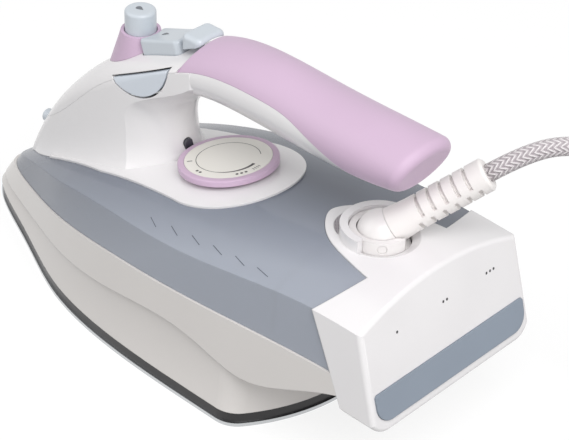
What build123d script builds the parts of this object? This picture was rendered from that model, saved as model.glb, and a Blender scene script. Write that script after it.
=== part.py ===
"""A steam iron: soleplate, housing, water tank, cantilever handle and swivelling cord."""

import os
from math import cos, pi, radians, sin, sqrt, tan

from build123d import *

os.makedirs("parts", exist_ok=True)

# Driving dimensions, millimetres. X runs from nose to heel, Y to the iron's right, Z up.
iron_length = 302.0
sole_length = 243.0
sole_width = 116.4
sole_edge = 2.2
sole_edge_round = 0.66
skirt_height = 5.2
wall = 2.6
seat_gap = 0.1
run_gap = 0.3
pin_fit = 0.05
reach = 120.0
nose_x = -iron_length / 2
heel_x = iron_length / 2


def at(distance):
    """X of a station measured back from the nose of the sole."""
    return nose_x + distance


# Sole outline: a pointed nose, a long bow and a shallow round stern.
bow_station, bow_half = 44.0, 26.9
shoulder_station, shoulder_inset = 95.0, 9.9
beam_station = 196.0
corner_station, corner_radius = 221.0, 14.0


def sole_outline(inset, nose_rake):
    """Outline of the sole drawn in by inset, with the nose and bow moved back by nose_rake."""
    half = sole_width / 2 - inset
    with BuildSketch() as outline:
        with BuildLine():
            side = Spline(
                (at(nose_rake + inset), 0),
                (at(bow_station + nose_rake * 0.8), bow_half - inset * 0.8),
                (at(shoulder_station + nose_rake * 0.4), half - shoulder_inset),
                (at(beam_station), half),
                tangents=((0, 1), (1, 0)),
                tangent_scalars=(0.55, 1),
            )
            Line(side @ 1, (at(corner_station), half))
            mirror(about=Plane.XZ)
            ThreePointArc(
                (at(corner_station), half),
                (at(sole_length - inset), 0),
                (at(corner_station), -half),
            )
        make_face()
        fillet(outline.vertices().sort_by(Axis.X)[-2:], radius=corner_radius)
    return outline.sketch


# Housing wall: drafted from the foot line at the sole up to the deck line of the tank.
foot_z, deck_z = 7.0, 100.0
foot_bow = (44.0, 27.0)
foot_shoulder = (95.0, 48.5)
foot_beam, deck_beam = 58.0, 55.1
foot_quarter, deck_quarter = 54.0, 51.0
foot_tail, deck_tail = 52.4, 49.7
deck_nose = 69.5
deck_bow = (96.7, 34.8)
deck_shoulder = (124.1, 44.0)
beam_at, quarter_at = 190.0, 264.0
tail_past = 20.0


def housing(inset):
    """Solid of the housing's outer wall drawn in by inset, still open at top and bottom ends."""
    levels = (
        (foot_z, 0.0, foot_bow, foot_shoulder, foot_beam, foot_quarter, foot_tail),
        (deck_z, deck_nose, deck_bow, deck_shoulder, deck_beam, deck_quarter, deck_tail),
    )
    with BuildPart() as body:
        for height, nose, bow, shoulder, beam, quarter, tail in levels:
            with BuildSketch(Plane.XY.offset(height)):
                with BuildLine():
                    side = Spline(
                        (at(nose + 1.5 * inset), 0),
                        (at(bow[0]), bow[1] - inset),
                        (at(shoulder[0]), shoulder[1] - inset),
                        (at(beam_at), beam - inset),
                        (at(quarter_at), quarter - inset),
                        (heel_x + tail_past, tail - inset),
                        tangents=((0, 1), (1, -0.03)),
                        tangent_scalars=(0.6, 1),
                    )
                    mirror(about=Plane.XZ)
                    Line(side @ 1, ((side @ 1).X, -(side @ 1).Y))
                make_face()
        loft(ruled=True)
    return body.part


# Crowned deck: the top of tank and heel, an arc across, rising from nose to heel.
crown_radius = 160.0
crown_half = 70.0
deck_line = (
    (-6.0, 9.0),
    (21.0, 30.0),
    (80.0, 60.0),
    (130.0, 78.0),
    (170.0, 86.0),
    (210.0, 90.8),
    (264.0, 93.5),
    (330.0, 95.0),
)
sky = 220.0


def above_deck(rise):
    """Everything above the crowned deck raised by rise."""
    sag = crown_radius - sqrt(crown_radius**2 - crown_half**2)
    with BuildPart() as block:
        for station, height in deck_line:
            with BuildSketch(Plane.YZ.offset(at(station))):
                with BuildLine():
                    arc = ThreePointArc(
                        (-crown_half, height + rise - sag),
                        (0, height + rise),
                        (crown_half, height + rise - sag),
                    )
                    Polyline(arc @ 1, (crown_half, sky), (-crown_half, sky), arc @ 0)
                make_face()
        loft()
    return block.part


# Rim line between base shell and tank, and the low line under the shell's band.
rim_line = ((-8.0, 18.5), (52.0, 32.4), (96.0, 43.0), (140.0, 52.0), (190.0, 57.0), (335.0, 60.0))
low_line = (
    (-8.0, 11.0),
    (65.0, 22.0),
    (140.0, 33.5),
    (198.0, 37.0),
    (226.0, 30.2),
    (252.0, 37.6),
    (335.0, 40.0),
)


def side_region(line, lift, ceiling):
    """Solid across the whole width between a side-view line raised by lift and the level ceiling."""
    points = [(at(station), height + lift) for station, height in line]
    with BuildPart() as region:
        with BuildSketch(Plane.XZ):
            with BuildLine():
                edge = Spline(*points)
                Polyline(edge @ 1, ((edge @ 1).X, ceiling), ((edge @ 0).X, ceiling), edge @ 0)
            make_face()
        extrude(amount=reach, both=True)
    return region.part


# Heel: a leaning wedge whose front edge bows back towards the cord tongue.
heel_lean = 15.0
heel_foot_z = 38.0
heel_front_lean = 24.0
heel_front_corner = (112.5, 51.8, 85.4)
heel_bow = 13.0
heel_front_top, heel_front_flare = 25.0, 8.0


def heel_block(gap):
    """Everything behind the leaning, bowed front edge of the heel cover, moved forward by gap."""
    x, y, z = heel_front_corner
    front = x + heel_x - iron_length / 2 - gap
    with BuildPart() as block:
        with BuildSketch(Plane.XY.offset(z + heel_front_top)):
            shift = -heel_front_top * tan(radians(heel_front_lean))
            with BuildLine():
                ThreePointArc(
                    (front + shift, -y), (front + shift + heel_bow, 0), (front + shift, y)
                )
                Polyline(
                    (front + shift, y),
                    (front + shift - heel_front_flare, reach),
                    (front + 2 * reach, reach),
                    (front + 2 * reach, -reach),
                    (front + shift - heel_front_flare, -reach),
                    (front + shift, -y),
                )
            make_face()
        lean = (sin(radians(heel_front_lean)), 0, -cos(radians(heel_front_lean)))
        extrude(amount=reach, dir=lean)
    return block.part


def behind_heel(inset):
    """Everything behind the leaning rear face of the heel drawn in by inset."""
    slope = tan(radians(heel_lean))
    rear = heel_x - inset / cos(radians(heel_lean))
    with BuildPart() as block:
        with BuildSketch(Plane.XZ):
            with BuildLine():
                Polyline(
                    (rear + slope * heel_foot_z, 0),
                    (rear - slope * (sky - heel_foot_z), sky),
                    (heel_x + reach, sky),
                    (heel_x + reach, 0),
                    close=True,
                )
            make_face()
        extrude(amount=reach, both=True)
    return block.part


# Foot of the base shell: flares out to the skirt in a shallow scoop.
foot_top_z = 44.0
scoop_z = 21.0
scoop_depth = 3.0
scoop_rake = 9.0
foot_top_depth = 3.6
foot_top_rake = 24.0
skirt_lip = 0.6


def foot(inset):
    """Scooped foot of the housing drawn in by inset."""
    with BuildPart() as body:
        with BuildSketch(Plane.XY.offset(sole_edge + skirt_height)):
            add(sole_outline(skirt_lip + inset, 0))
        with BuildSketch(Plane.XY.offset(scoop_z)):
            add(sole_outline(scoop_depth + inset, scoop_rake))
        with BuildSketch(Plane.XY.offset(foot_top_z)):
            add(sole_outline(foot_top_depth + inset, foot_top_rake))
        loft()
    return body.part


# Lines and lofts that several pieces share.
deck_cut = above_deck(0)
heel_space = heel_block(0)
over_rim = side_region(rim_line, 0, sky)
under_low = side_region(low_line, 0, -sky)

# Dial axis, leaning to the nose with the deck.
dial_station, dial_face_z, dial_lean = 163.8, 90.4, 8.3
dial_radius, dial_face_radius = 23.3, 20.2
dial_height, dial_head_room = 3.0, 1.0
dial_face_depth, dial_round = 0.8, 0.9
spindle_radius = 3.0
tube_wall = 1.8
dial_plane = Plane(
    origin=(at(dial_station), 0, dial_face_z),
    x_dir=(cos(radians(dial_lean)), 0, sin(radians(dial_lean))),
    z_dir=(-sin(radians(dial_lean)), 0, cos(radians(dial_lean))),
)

# Soleplate: polished plate with a raised casting that holds heater and steam chamber.
casting_inset, casting_top = 9.0, 13.0
chamber_inset, chamber_rake, chamber_floor = 27.0, 36.0, 7.0
cover_inset, cover_rake, cover_thickness = 22.5, 36.0, 1.5
heater_radius = 3.5
plate_top = casting_top + cover_thickness
heater_half, heater_bow_half = 40.5, 34.0
heater_tail, heater_beam, heater_bow, heater_apex = 212.0, 168.0, 110.0, 30.0
heater_bend, heater_tip = 100.0, 11.0
vent_radius = 1.6
vent_rows, vent_pitch = 6, 21.0
vent_first, vent_apex, vent_spread = 80.0, 48.0, 0.12
sole_screw_radius, sole_screw_head, sole_screw_bite = 2.0, 3.6, 6.0
sole_screw_head_height, sole_screw_tip_gap, sole_boss_wall = 2.4, 0.5, 0.8
front_screw, rear_screw, rear_screw_half = 31.0, 226.0, 26.0
bar_low, bar_high = 15.0, 19.0
sole_screw_places = [
    (at(front_screw), 0),
    (at(rear_screw), rear_screw_half),
    (at(rear_screw), -rear_screw_half),
]


def heater_path():
    """Hairpin of the heating element in the plan of the casting."""
    with BuildLine(Plane.XY.offset(casting_top)) as path:
        FilletPolyline(
            (at(heater_tail), heater_half),
            (at(heater_beam), heater_half),
            (at(heater_bow), heater_bow_half),
            (at(heater_apex), 0),
            (at(heater_bow), -heater_bow_half),
            (at(heater_beam), -heater_half),
            (at(heater_tail), -heater_half),
            radius=[heater_bend, heater_bend, heater_tip, heater_bend, heater_bend],
        )
    return path.line


def heater_tube(radius):
    """Tube of the given radius along the heater's hairpin."""
    path = heater_path()
    with BuildPart() as tube:
        add(path)
        with BuildSketch(Plane(path @ 0, z_dir=path % 0)):
            Circle(radius)
        sweep(path=path)
    return tube.part


with BuildPart() as soleplate:
    with BuildSketch():
        add(sole_outline(0, 0))
    extrude(amount=sole_edge)
    fillet(soleplate.faces().sort_by(Axis.Z)[0].edges(), radius=sole_edge_round)
    with BuildSketch(Plane.XY.offset(sole_edge)):
        add(sole_outline(casting_inset, 0))
    extrude(amount=casting_top - sole_edge)
    with BuildSketch(Plane.XY.offset(chamber_floor)):
        add(sole_outline(chamber_inset, chamber_rake))
    extrude(amount=casting_top - chamber_floor, mode=Mode.SUBTRACT)
    vent_places = []
    for row in range(vent_rows):
        station = vent_first + row * vent_pitch
        vent_places.append((at(station), (station - vent_apex) * vent_spread))
        vent_places.append((at(station), -(station - vent_apex) * vent_spread))
    with Locations(*vent_places):
        Cylinder(vent_radius, 2 * casting_top, mode=Mode.SUBTRACT)
    with Locations(*[(x, y, casting_top) for x, y in sole_screw_places]):
        Cylinder(
            sole_screw_head + sole_boss_wall,
            bar_low - casting_top,
            align=(Align.CENTER, Align.CENTER, Align.MIN),
        )
    with Locations(*[(x, y, bar_low) for x, y in sole_screw_places]):
        Cylinder(sole_screw_radius + seat_gap, 2 * sole_screw_bite, mode=Mode.SUBTRACT)
    add(heater_tube(heater_radius + seat_gap), mode=Mode.SUBTRACT)
soleplate.part.label = "soleplate"
export_step(soleplate.part, "parts/soleplate.step")

heating_element = heater_tube(heater_radius)
heating_element.label = "heating_element"
export_step(heating_element, "parts/heating_element.step")

with BuildPart() as chamber_cover:
    with BuildSketch(Plane.XY.offset(casting_top)):
        add(sole_outline(cover_inset, cover_rake))
    extrude(amount=cover_thickness)
chamber_cover.part.label = "chamber_cover"
export_step(chamber_cover.part, "parts/chamber_cover.step")

# Heat skirt: the dark ring between sole edge and base shell.
skirt_inset, skirt_width = 0.9, 5.0
with BuildPart() as heat_skirt:
    with BuildSketch(Plane.XY.offset(sole_edge)):
        add(sole_outline(skirt_inset, 0))
        add(sole_outline(skirt_inset + skirt_width, 0), mode=Mode.SUBTRACT)
    extrude(amount=skirt_height)
heat_skirt.part.label = "heat_skirt"
export_step(heat_skirt.part, "parts/heat_skirt.step")

with BuildPart() as shell_room:
    add(housing(wall))
    add(side_region(low_line, wall, -sky), mode=Mode.SUBTRACT)

with BuildPart() as screw_bars:
    for station in (front_screw, rear_screw):
        with BuildSketch(Plane.XY.offset(bar_low)):
            with Locations((at(station), 0)):
                Rectangle(4 * sole_screw_head, 2 * reach)
        extrude(amount=bar_high - bar_low)
    with Locations(*[(x, y, bar_low) for x, y in sole_screw_places]):
        Hole(sole_screw_radius + seat_gap, depth=2 * bar_high)
    add(foot(wall / 2), mode=Mode.INTERSECT)

# Base shell: the lower housing, hollow, with two bars that the sole's screws draw down.
with BuildPart() as base_shell:
    add(housing(0))
    add(under_low, mode=Mode.SUBTRACT)
    add(heel_space, mode=Mode.SUBTRACT)
    add(foot(0))
    add(over_rim, mode=Mode.SUBTRACT)
    add(shell_room.part, mode=Mode.SUBTRACT)
    add(foot(wall), mode=Mode.SUBTRACT)
    add(screw_bars.part)
base_shell.part.label = "base_shell"
export_step(base_shell.part, "parts/base_shell.step")

with BuildPart() as sole_screws:
    with Locations(*[(x, y, bar_high) for x, y in sole_screw_places]):
        Cylinder(
            sole_screw_radius,
            bar_high - bar_low + sole_screw_bite - sole_screw_tip_gap,
            align=(Align.CENTER, Align.CENTER, Align.MAX),
        )
        Cylinder(sole_screw_head, sole_screw_head_height, align=(Align.CENTER, Align.CENTER, Align.MIN))
sole_screws.part.label = "sole_screws"
export_step(sole_screws.part, "parts/sole_screws.step")

# Tongue of the heel cover, let into the tank's deck, and the window beside the cord socket.
tongue_tip, tongue_join, tongue_half = 76.0, 131.0, 27.0
tongue_nose_half, tongue_mid_half = 13.0, 21.0
tongue_nose_run, tongue_mid_run = 8.5, 24.5
tongue_depth, heel_rise = 1.5, 0.6
window_radius, window_shift, window_depth = 13.0, 9.0, 1.0
tongue_tall, window_tall = 40.0, 20.0
socket_outer = 16.0
collar_radius = 17.5
ball_x, ball_z, ball_radius = 104.0, 94.6, 10.3


def tongue_block(gap):
    """Tall block with the tongue's plan, grown by gap."""
    with BuildPart() as block:
        with BuildSketch(Plane.XY.offset(ball_z - tongue_tall)):
            with BuildLine():
                side = Spline(
                    (tongue_tip - gap, 0),
                    (tongue_tip + tongue_nose_run, tongue_nose_half + gap),
                    (tongue_tip + tongue_mid_run, tongue_mid_half + gap),
                    (tongue_join, tongue_half + gap),
                    tangents=((0, 1), (1, 0.1)),
                    tangent_scalars=(0.7, 1),
                )
                mirror(about=Plane.XZ)
                Line(side @ 1, ((side @ 1).X, -(side @ 1).Y))
            make_face()
        extrude(amount=2 * tongue_tall)
    return block.part


def crescent_block(gap, depth):
    """Crescent ahead of the cord socket, grown by gap, reaching depth below the tongue's top."""
    with BuildPart() as block:
        with BuildSketch(Plane.XY.offset(ball_z - window_tall)):
            with Locations((ball_x - window_shift, 0)):
                Circle(window_radius + gap)
            with Locations((ball_x, 0)):
                Circle(collar_radius + run_gap - gap, mode=Mode.SUBTRACT)
        extrude(amount=2 * window_tall)
        add(above_deck(heel_rise - depth), mode=Mode.INTERSECT)
    return block.part


# Water tank: a clear shell with two inner walls, set a little inside the base shell's rim.
tank_inset, tank_wall = 1.0, 2.2
tank_bore, port_bore = 40.0, 36.0
floor_thickness, seal_width = 2.2, 1.2
inner_walls = ((90.0, 50.0), (241.0, 61.5))
deck_inside = above_deck(-tank_wall)
heel_ahead = heel_block(tank_wall)
port_x, port_y, port_radius = -32.0, -12.0, 4.4
port_low, port_high = 60.0, 114.0
spray_x, pump_radius = -44.0, 5.0
valve_x, valve_radius, valve_wall, valve_top = -62.0, 4.0, 1.6, 50.0

with BuildPart() as tank_room:
    add(housing(tank_inset + tank_wall))
    add(deck_inside, mode=Mode.SUBTRACT)
    add(heel_ahead, mode=Mode.SUBTRACT)
    for station, low_edge in inner_walls:
        with BuildSketch(Plane.YZ.offset(at(station))):
            with Locations((0, low_edge)):
                Rectangle(2 * reach, sky, align=(Align.CENTER, Align.MIN))
        extrude(amount=tank_wall, mode=Mode.SUBTRACT)

with BuildPart() as tongue_seat:
    add(tongue_block(seat_gap))
    add(above_deck(-tongue_depth), mode=Mode.INTERSECT)

with BuildPart() as tank:
    add(housing(tank_inset))
    add(over_rim, mode=Mode.INTERSECT)
    add(deck_cut, mode=Mode.SUBTRACT)
    add(heel_space, mode=Mode.SUBTRACT)
    add(tank_room.part, mode=Mode.SUBTRACT)
    with BuildSketch(dial_plane):
        Circle(spindle_radius + 2 * tube_wall + seat_gap)
    extrude(amount=-tank_bore, mode=Mode.SUBTRACT)
    with BuildSketch(Plane.XY.offset(ball_z)):
        with Locations((ball_x, 0)):
            Circle(socket_outer + run_gap)
    extrude(amount=-tank_bore, mode=Mode.SUBTRACT)
    with BuildSketch(Plane.XY.offset(ball_z)):
        with Locations((port_x, port_y)):
            Circle(port_radius)
        with Locations((spray_x, 0)):
            Circle(pump_radius + seat_gap)
    extrude(amount=-port_bore, mode=Mode.SUBTRACT)
    add(tongue_seat.part, mode=Mode.SUBTRACT)
tank.part.label = "tank"
export_step(tank.part, "parts/tank.step")

# Tank floor with the tube that keeps water off the dial spindle, and its seal.
tube_foot, tube_bore = 52.0, 60.0
tank_floor_lift = side_region(rim_line, floor_thickness, sky)
with BuildPart() as tank_floor:
    add(housing(tank_inset + tank_wall + seal_width))
    add(over_rim, mode=Mode.INTERSECT)
    add(heel_ahead, mode=Mode.SUBTRACT)
    add(tank_floor_lift, mode=Mode.SUBTRACT)
    with BuildSketch(dial_plane):
        Circle(spindle_radius + 2 * tube_wall)
    extrude(amount=-(dial_face_z - tube_foot))
    add(deck_cut, mode=Mode.SUBTRACT)
    with BuildSketch(dial_plane):
        Circle(spindle_radius + tube_wall)
    extrude(amount=-tube_bore, mode=Mode.SUBTRACT)
    with BuildSketch(Plane.XY.offset(plate_top)):
        with Locations((valve_x, 0)):
            Circle(valve_radius + seat_gap)
    extrude(amount=valve_top - plate_top, mode=Mode.SUBTRACT)
tank_floor.part.label = "tank_floor"
export_step(tank_floor.part, "parts/tank_floor.step")

with BuildPart() as tank_seal:
    add(housing(tank_inset + tank_wall + seat_gap))
    add(housing(tank_inset + tank_wall + seal_width - seat_gap), mode=Mode.SUBTRACT)
    add(over_rim, mode=Mode.INTERSECT)
    add(heel_ahead, mode=Mode.SUBTRACT)
    add(tank_floor_lift, mode=Mode.SUBTRACT)
tank_seal.part.label = "tank_seal"
export_step(tank_seal.part, "parts/tank_seal.step")

# Neck: bell-shaped sections rising from the nose of the deck to the handle.
neck_sections = (
    (24.0, 3.0, 26.0, 1.6, 30.0, 33.0),
    (38.0, 12.0, 36.5, 6.5, 49.0, 57.0),
    (60.0, 20.5, 46.5, 12.5, 76.0, 85.5),
    (88.0, 28.0, 58.0, 17.0, 99.0, 112.0),
    (130.0, 32.0, 71.5, 19.2, 125.5, 134.0),
    (166.0, 33.4, 78.5, 16.5, 138.0, 151.0),
)
neck_least_half, neck_least_rise = 0.8, 1.0


def neck_form(inset):
    """Neck drawn in by inset: flare, waist and roof at each station along the deck."""
    with BuildPart() as form:
        for station, flare, foot_height, waist, eaves, ridge in neck_sections:
            with BuildSketch(Plane.YZ.offset(at(station))):
                half = max(waist - inset, neck_least_half)
                rise = max(ridge - eaves - inset, neck_least_rise)
                with BuildLine():
                    roof = EllipticalCenterArc((0, eaves), half, rise, start_angle=0, arc_size=180)
                    right = Spline(
                        (flare - inset * 0.5, foot_height),
                        (half, eaves),
                        tangents=((-1, 0.35), (0, 1)),
                        tangent_scalars=(1.0, 1.2),
                    )
                    Spline(
                        (-half, eaves),
                        (-flare + inset * 0.5, foot_height),
                        tangents=((0, -1), (-1, -0.35)),
                        tangent_scalars=(1.2, 1.0),
                    )
                    Line((-flare + inset * 0.5, foot_height), right @ 0)
                make_face()
        loft()
    return form.part


# Handle bar: oval sections that flow out of the neck and run back over the deck.
bar_sections = (
    (-30.0, 17.0, 131.0, 100.0),
    (-14.0, 17.65, 139.2, 113.4),
    (4.0, 17.65, 147.9, 120.9),
    (26.0, 17.1, 153.0, 122.4),
    (52.0, 17.2, 153.0, 121.9),
    (80.0, 17.7, 151.3, 121.6),
    (110.0, 17.9, 150.4, 123.4),
    (140.0, 17.0, 148.4, 128.4),
)
bar_end_x, bar_end_z, bar_end_lean = 126.0, 138.0, 22.0
bar_end_round = 4.0


def bar_form(inset):
    """Handle bar drawn in by inset."""
    with BuildPart() as form:
        for x, half, top, bottom in bar_sections:
            with BuildSketch(Plane.YZ.offset(x)):
                with Locations((0, (top + bottom) / 2)):
                    Ellipse(half - inset, (top - bottom) / 2 - inset)
        loft()
    return form.part


def beyond_bar(back):
    """Everything behind the leaning end of the bar, moved forward by back."""
    with BuildPart() as block:
        end = Plane(
            origin=(bar_end_x - back, 0, bar_end_z),
            x_dir=(0, 1, 0),
            z_dir=(cos(radians(bar_end_lean)), 0, -sin(radians(bar_end_lean))),
        )
        with BuildSketch(end):
            Rectangle(2 * reach, 2 * reach)
        extrude(amount=reach)
    return block.part


# Seams in side view: cover over body, and soft grip over the bar's core.
seam_line = ((-113.0, 60.0), (-80.0, 83.6), (-44.0, 114.4), (-27.0, 123.6), (-8.0, 133.0), (-2.0, 135.5))
grip_seam_lean = 0.5
grip_line = ((12.0, 140.0), (46.0, 142.2), (64.0, 140.6), (77.0, 136.2), (94.0, 128.0), (106.0, 112.0))
seam_top, seam_front = 175.0, -140.0


def cover_zone(gap):
    """Everything above the cover seam and ahead of the grip seam, grown by gap."""
    points = [(x, z - gap) for x, z in seam_line]
    with BuildPart() as zone:
        with BuildSketch(Plane.XZ):
            with BuildLine():
                edge = Spline(*points)
                end = edge @ 1
                Polyline(
                    end,
                    (end.X + grip_seam_lean * (seam_top - end.Y), seam_top),
                    (seam_front, seam_top),
                    (seam_front, (edge @ 0).Y),
                    edge @ 0,
                )
            make_face()
        extrude(amount=reach, both=True)
    return zone.part


def grip_zone():
    """Everything above the grip's parting line and behind the grip seam."""
    start = seam_line[-1]
    with BuildPart() as zone:
        with BuildSketch(Plane.XZ):
            with BuildLine():
                edge = Spline(start, *grip_line)
                end = edge @ 1
                Polyline(
                    end,
                    (end.X + 2 * reach, end.Y),
                    (end.X + 2 * reach, seam_top),
                    (start[0] + grip_seam_lean * (seam_top - start[1]), seam_top),
                    start,
                )
            make_face()
        extrude(amount=reach, both=True)
    return zone.part


neck = neck_form(0)
bar = bar_form(0)
cover_space = cover_zone(0)
grip_space = grip_zone()
grip_wall = 3.0
core_back = 6.0

# Filling flap: a half moon under the cover seam on the left side, hinged near the bottom of its arc.
flap_front, flap_rear = (-44.0, 115.6), (-7.0, 134.8)
flap_sagitta, flap_gap, flap_thickness, flap_floor, flap_inner = 10.5, 0.9, 2.4, 7.2, 5.475
flap_length = sqrt((flap_rear[0] - flap_front[0]) ** 2 + (flap_rear[1] - flap_front[1]) ** 2)
flap_round = (flap_length**2 / 4 + flap_sagitta**2) / (2 * flap_sagitta)


def flap_zone(gap, depth_from, depth_to):
    """Half moon in side view grown by gap, between two distances to the left."""
    fx, fz = flap_front
    rx, rz = flap_rear
    ux, uz = (rx - fx) / flap_length, (rz - fz) / flap_length
    half = sqrt((flap_round + gap) ** 2 - (flap_round - flap_sagitta - gap) ** 2)
    top_x, top_z = (fx + rx) / 2 - uz * gap, (fz + rz) / 2 + ux * gap
    mid = (top_x + uz * (flap_sagitta + 2 * gap), top_z - ux * (flap_sagitta + 2 * gap))
    first = (top_x - ux * half, top_z - uz * half)
    last = (top_x + ux * half, top_z + uz * half)
    with BuildPart() as zone:
        with BuildSketch(Plane.XZ.offset(depth_from)):
            with BuildLine():
                ThreePointArc(first, mid, last)
                Line(last, first)
            make_face()
        extrude(amount=depth_to - depth_from)
    return zone.part


# Steam button, its pod and the spray button with its collar, on the handle cover.
steam_button_length, steam_button_width, steam_button_depth = 27.0, 17.0, 10.0
steam_button_x, steam_button_z, steam_slope = -24.6, 138.9, 20.0
steam_travel, steam_corner, cover_bore = 4.0, 3.0, 40.0
spray_top, spray_radius = 144.4, 7.3
collar_top, collar_top_radius, collar_oval = 134.0, 9.2, 0.01
collar_foot, collar_foot_long, collar_foot_half = 108.0, 20.0, 12.6
collar_bore, collar_sink = 60.0, 30.0
pod_length, pod_width, pod_top, pod_depth = 12.0, 17.0, 149.0, 30.0
pod_x, pod_round = -3.2, 2.4
button_gap = 0.4
steam_plane = Plane(
    origin=(steam_button_x, 0, steam_button_z),
    x_dir=(cos(radians(steam_slope)), 0, sin(radians(steam_slope))),
    z_dir=(-sin(radians(steam_slope)), 0, cos(radians(steam_slope))),
)


def collar_form(gap):
    """Flaring collar under the spray button, grown by gap."""
    with BuildPart() as form:
        with BuildSketch(Plane.XY.offset(collar_top)):
            with Locations((spray_x, 0)):
                Ellipse(collar_top_radius + gap + collar_oval, collar_top_radius + gap)
        with BuildSketch(Plane.XY.offset(collar_foot)):
            with Locations((spray_x, 0)):
                Ellipse(collar_foot_long + gap, collar_foot_half + gap)
        loft()
    return form.part


def steam_block(gap, depth):
    """Steam button's block grown by gap and reaching depth below its top."""
    with BuildPart() as block:
        with BuildSketch(steam_plane):
            RectangleRounded(steam_button_length + 2 * gap, steam_button_width + 2 * gap, steam_corner + gap)
        extrude(amount=-depth)
    return block.part


# Inner room of the neck for pumps and hoses, and the filling port beside it.
room_half, room_front, room_rear = 6.0, -96.0, -16.5
room_low, room_nose, room_knee, room_high = 30.0, 72.0, 112.0, 139.0
room_knee_x = -54.0
column_x, column_stretch, column_foot = -42.7, 1.555, 40.0
column_line = (
    (31.0, 70.0),
    (24.0, 76.5),
    (20.6, 84.0),
    (19.5, 92.0),
    (19.2, 100.0),
    (20.2, 107.0),
    (23.5, 114.0),
    (29.0, 121.0),
    (36.0, 130.0),
)
platform_radius, platform_x, platform_rise = 33.0, 16.0, 1.2
platform_front, platform_front_half = -95.0, 16.0
platform_knee, platform_knee_half = -44.4, 27.4

with BuildPart() as room:
    with BuildSketch(Plane.XZ):
        with BuildLine():
            Polyline(
                (room_front, room_low),
                (room_front, room_nose),
                (room_knee_x, room_knee),
                (room_rear, room_high),
                (room_rear, room_low),
                close=True,
            )
        make_face()
    extrude(amount=room_half, both=True)

# Waisted column that rounds off the back of the neck, drawn out along X to an oval.
with BuildPart() as column:
    with BuildSketch(Plane.XZ):
        with BuildLine():
            waist_edge = Spline(*column_line)
            Polyline(
                waist_edge @ 1,
                (column_line[-1][0], sky),
                (0, sky),
                (0, column_foot),
                (column_line[0][0], column_foot),
                waist_edge @ 0,
            )
        make_face()
    revolve(axis=Axis.Z)
    scale(by=(column_stretch, 1, 1))

with BuildPart() as behind_neck:
    with BuildSketch(Plane.XY.offset(column_foot)):
        with Locations((column_x, 0)):
            Rectangle(2 * reach, 2 * reach, align=(Align.MIN, Align.CENTER))
    extrude(amount=sky - column_foot)
    add(Pos(column_x, 0, 0) * column.part, mode=Mode.SUBTRACT)

with BuildPart() as platform:
    with BuildSketch(Plane.XY.offset(column_foot)):
        with Locations((platform_x, 0)):
            Circle(platform_radius)
        with BuildLine():
            Polyline(
                (platform_front, -platform_front_half),
                (platform_knee, -platform_knee_half),
                (platform_x, -platform_radius),
                (platform_x, platform_radius),
                (platform_knee, platform_knee_half),
                (platform_front, platform_front_half),
                close=True,
            )
        make_face()
    extrude(amount=sky - column_foot)
    add(above_deck(platform_rise), mode=Mode.SUBTRACT)

# Nozzle bore in the nose of the neck and lens seat in its back wall.
nozzle_radius, nozzle_tip, nozzle_z, nozzle_hole = 3.4, -115.5, 57.5, 1.0
nozzle_break, nozzle_chamfer, nozzle_bore = 1.0, 1.02, 9.75
lens_height, lens_width, lens_proud, lens_depth = 10.0, 4.6, 0.4, 3.4
lens_y, lens_z, lens_turn, lens_slant, lens_wall = -1.0, 85.5, 3.0, 15.0, 20.2
lens_x = column_x + column_stretch * lens_wall
lens_plane = Plane(
    origin=(lens_x, lens_y, lens_z),
    x_dir=(sin(radians(lens_turn)), cos(radians(lens_turn)), 0),
    z_dir=(cos(radians(lens_turn)), -sin(radians(lens_turn)), 0),
)

# Filling flap pin, parallel to the flap's straight edge near the bottom of the half moon.
pin_radius, pin_length, pin_rise, pin_depth = 0.7, 25.0, 1.3, 17.9
flap_ux = (flap_rear[0] - flap_front[0]) / flap_length
flap_uz = (flap_rear[1] - flap_front[1]) / flap_length
pin_drop = flap_sagitta - pin_rise
flap_pin_plane = Plane(
    origin=(
        (flap_front[0] + flap_rear[0]) / 2 + flap_uz * pin_drop,
        -pin_depth,
        (flap_front[1] + flap_rear[1]) / 2 - flap_ux * pin_drop,
    ),
    z_dir=(flap_ux, 0, flap_uz),
)


def flap_rod(radius):
    """Rod on the flap's hinge line."""
    with BuildPart() as rod:
        with BuildSketch(flap_pin_plane):
            Circle(radius)
        extrude(amount=pin_length / 2, both=True)
    return rod.part


with BuildPart() as handle_core:
    add(bar_form(grip_wall + seat_gap))
    add(grip_space, mode=Mode.INTERSECT)
    add(beyond_bar(core_back + seat_gap), mode=Mode.SUBTRACT)

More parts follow.
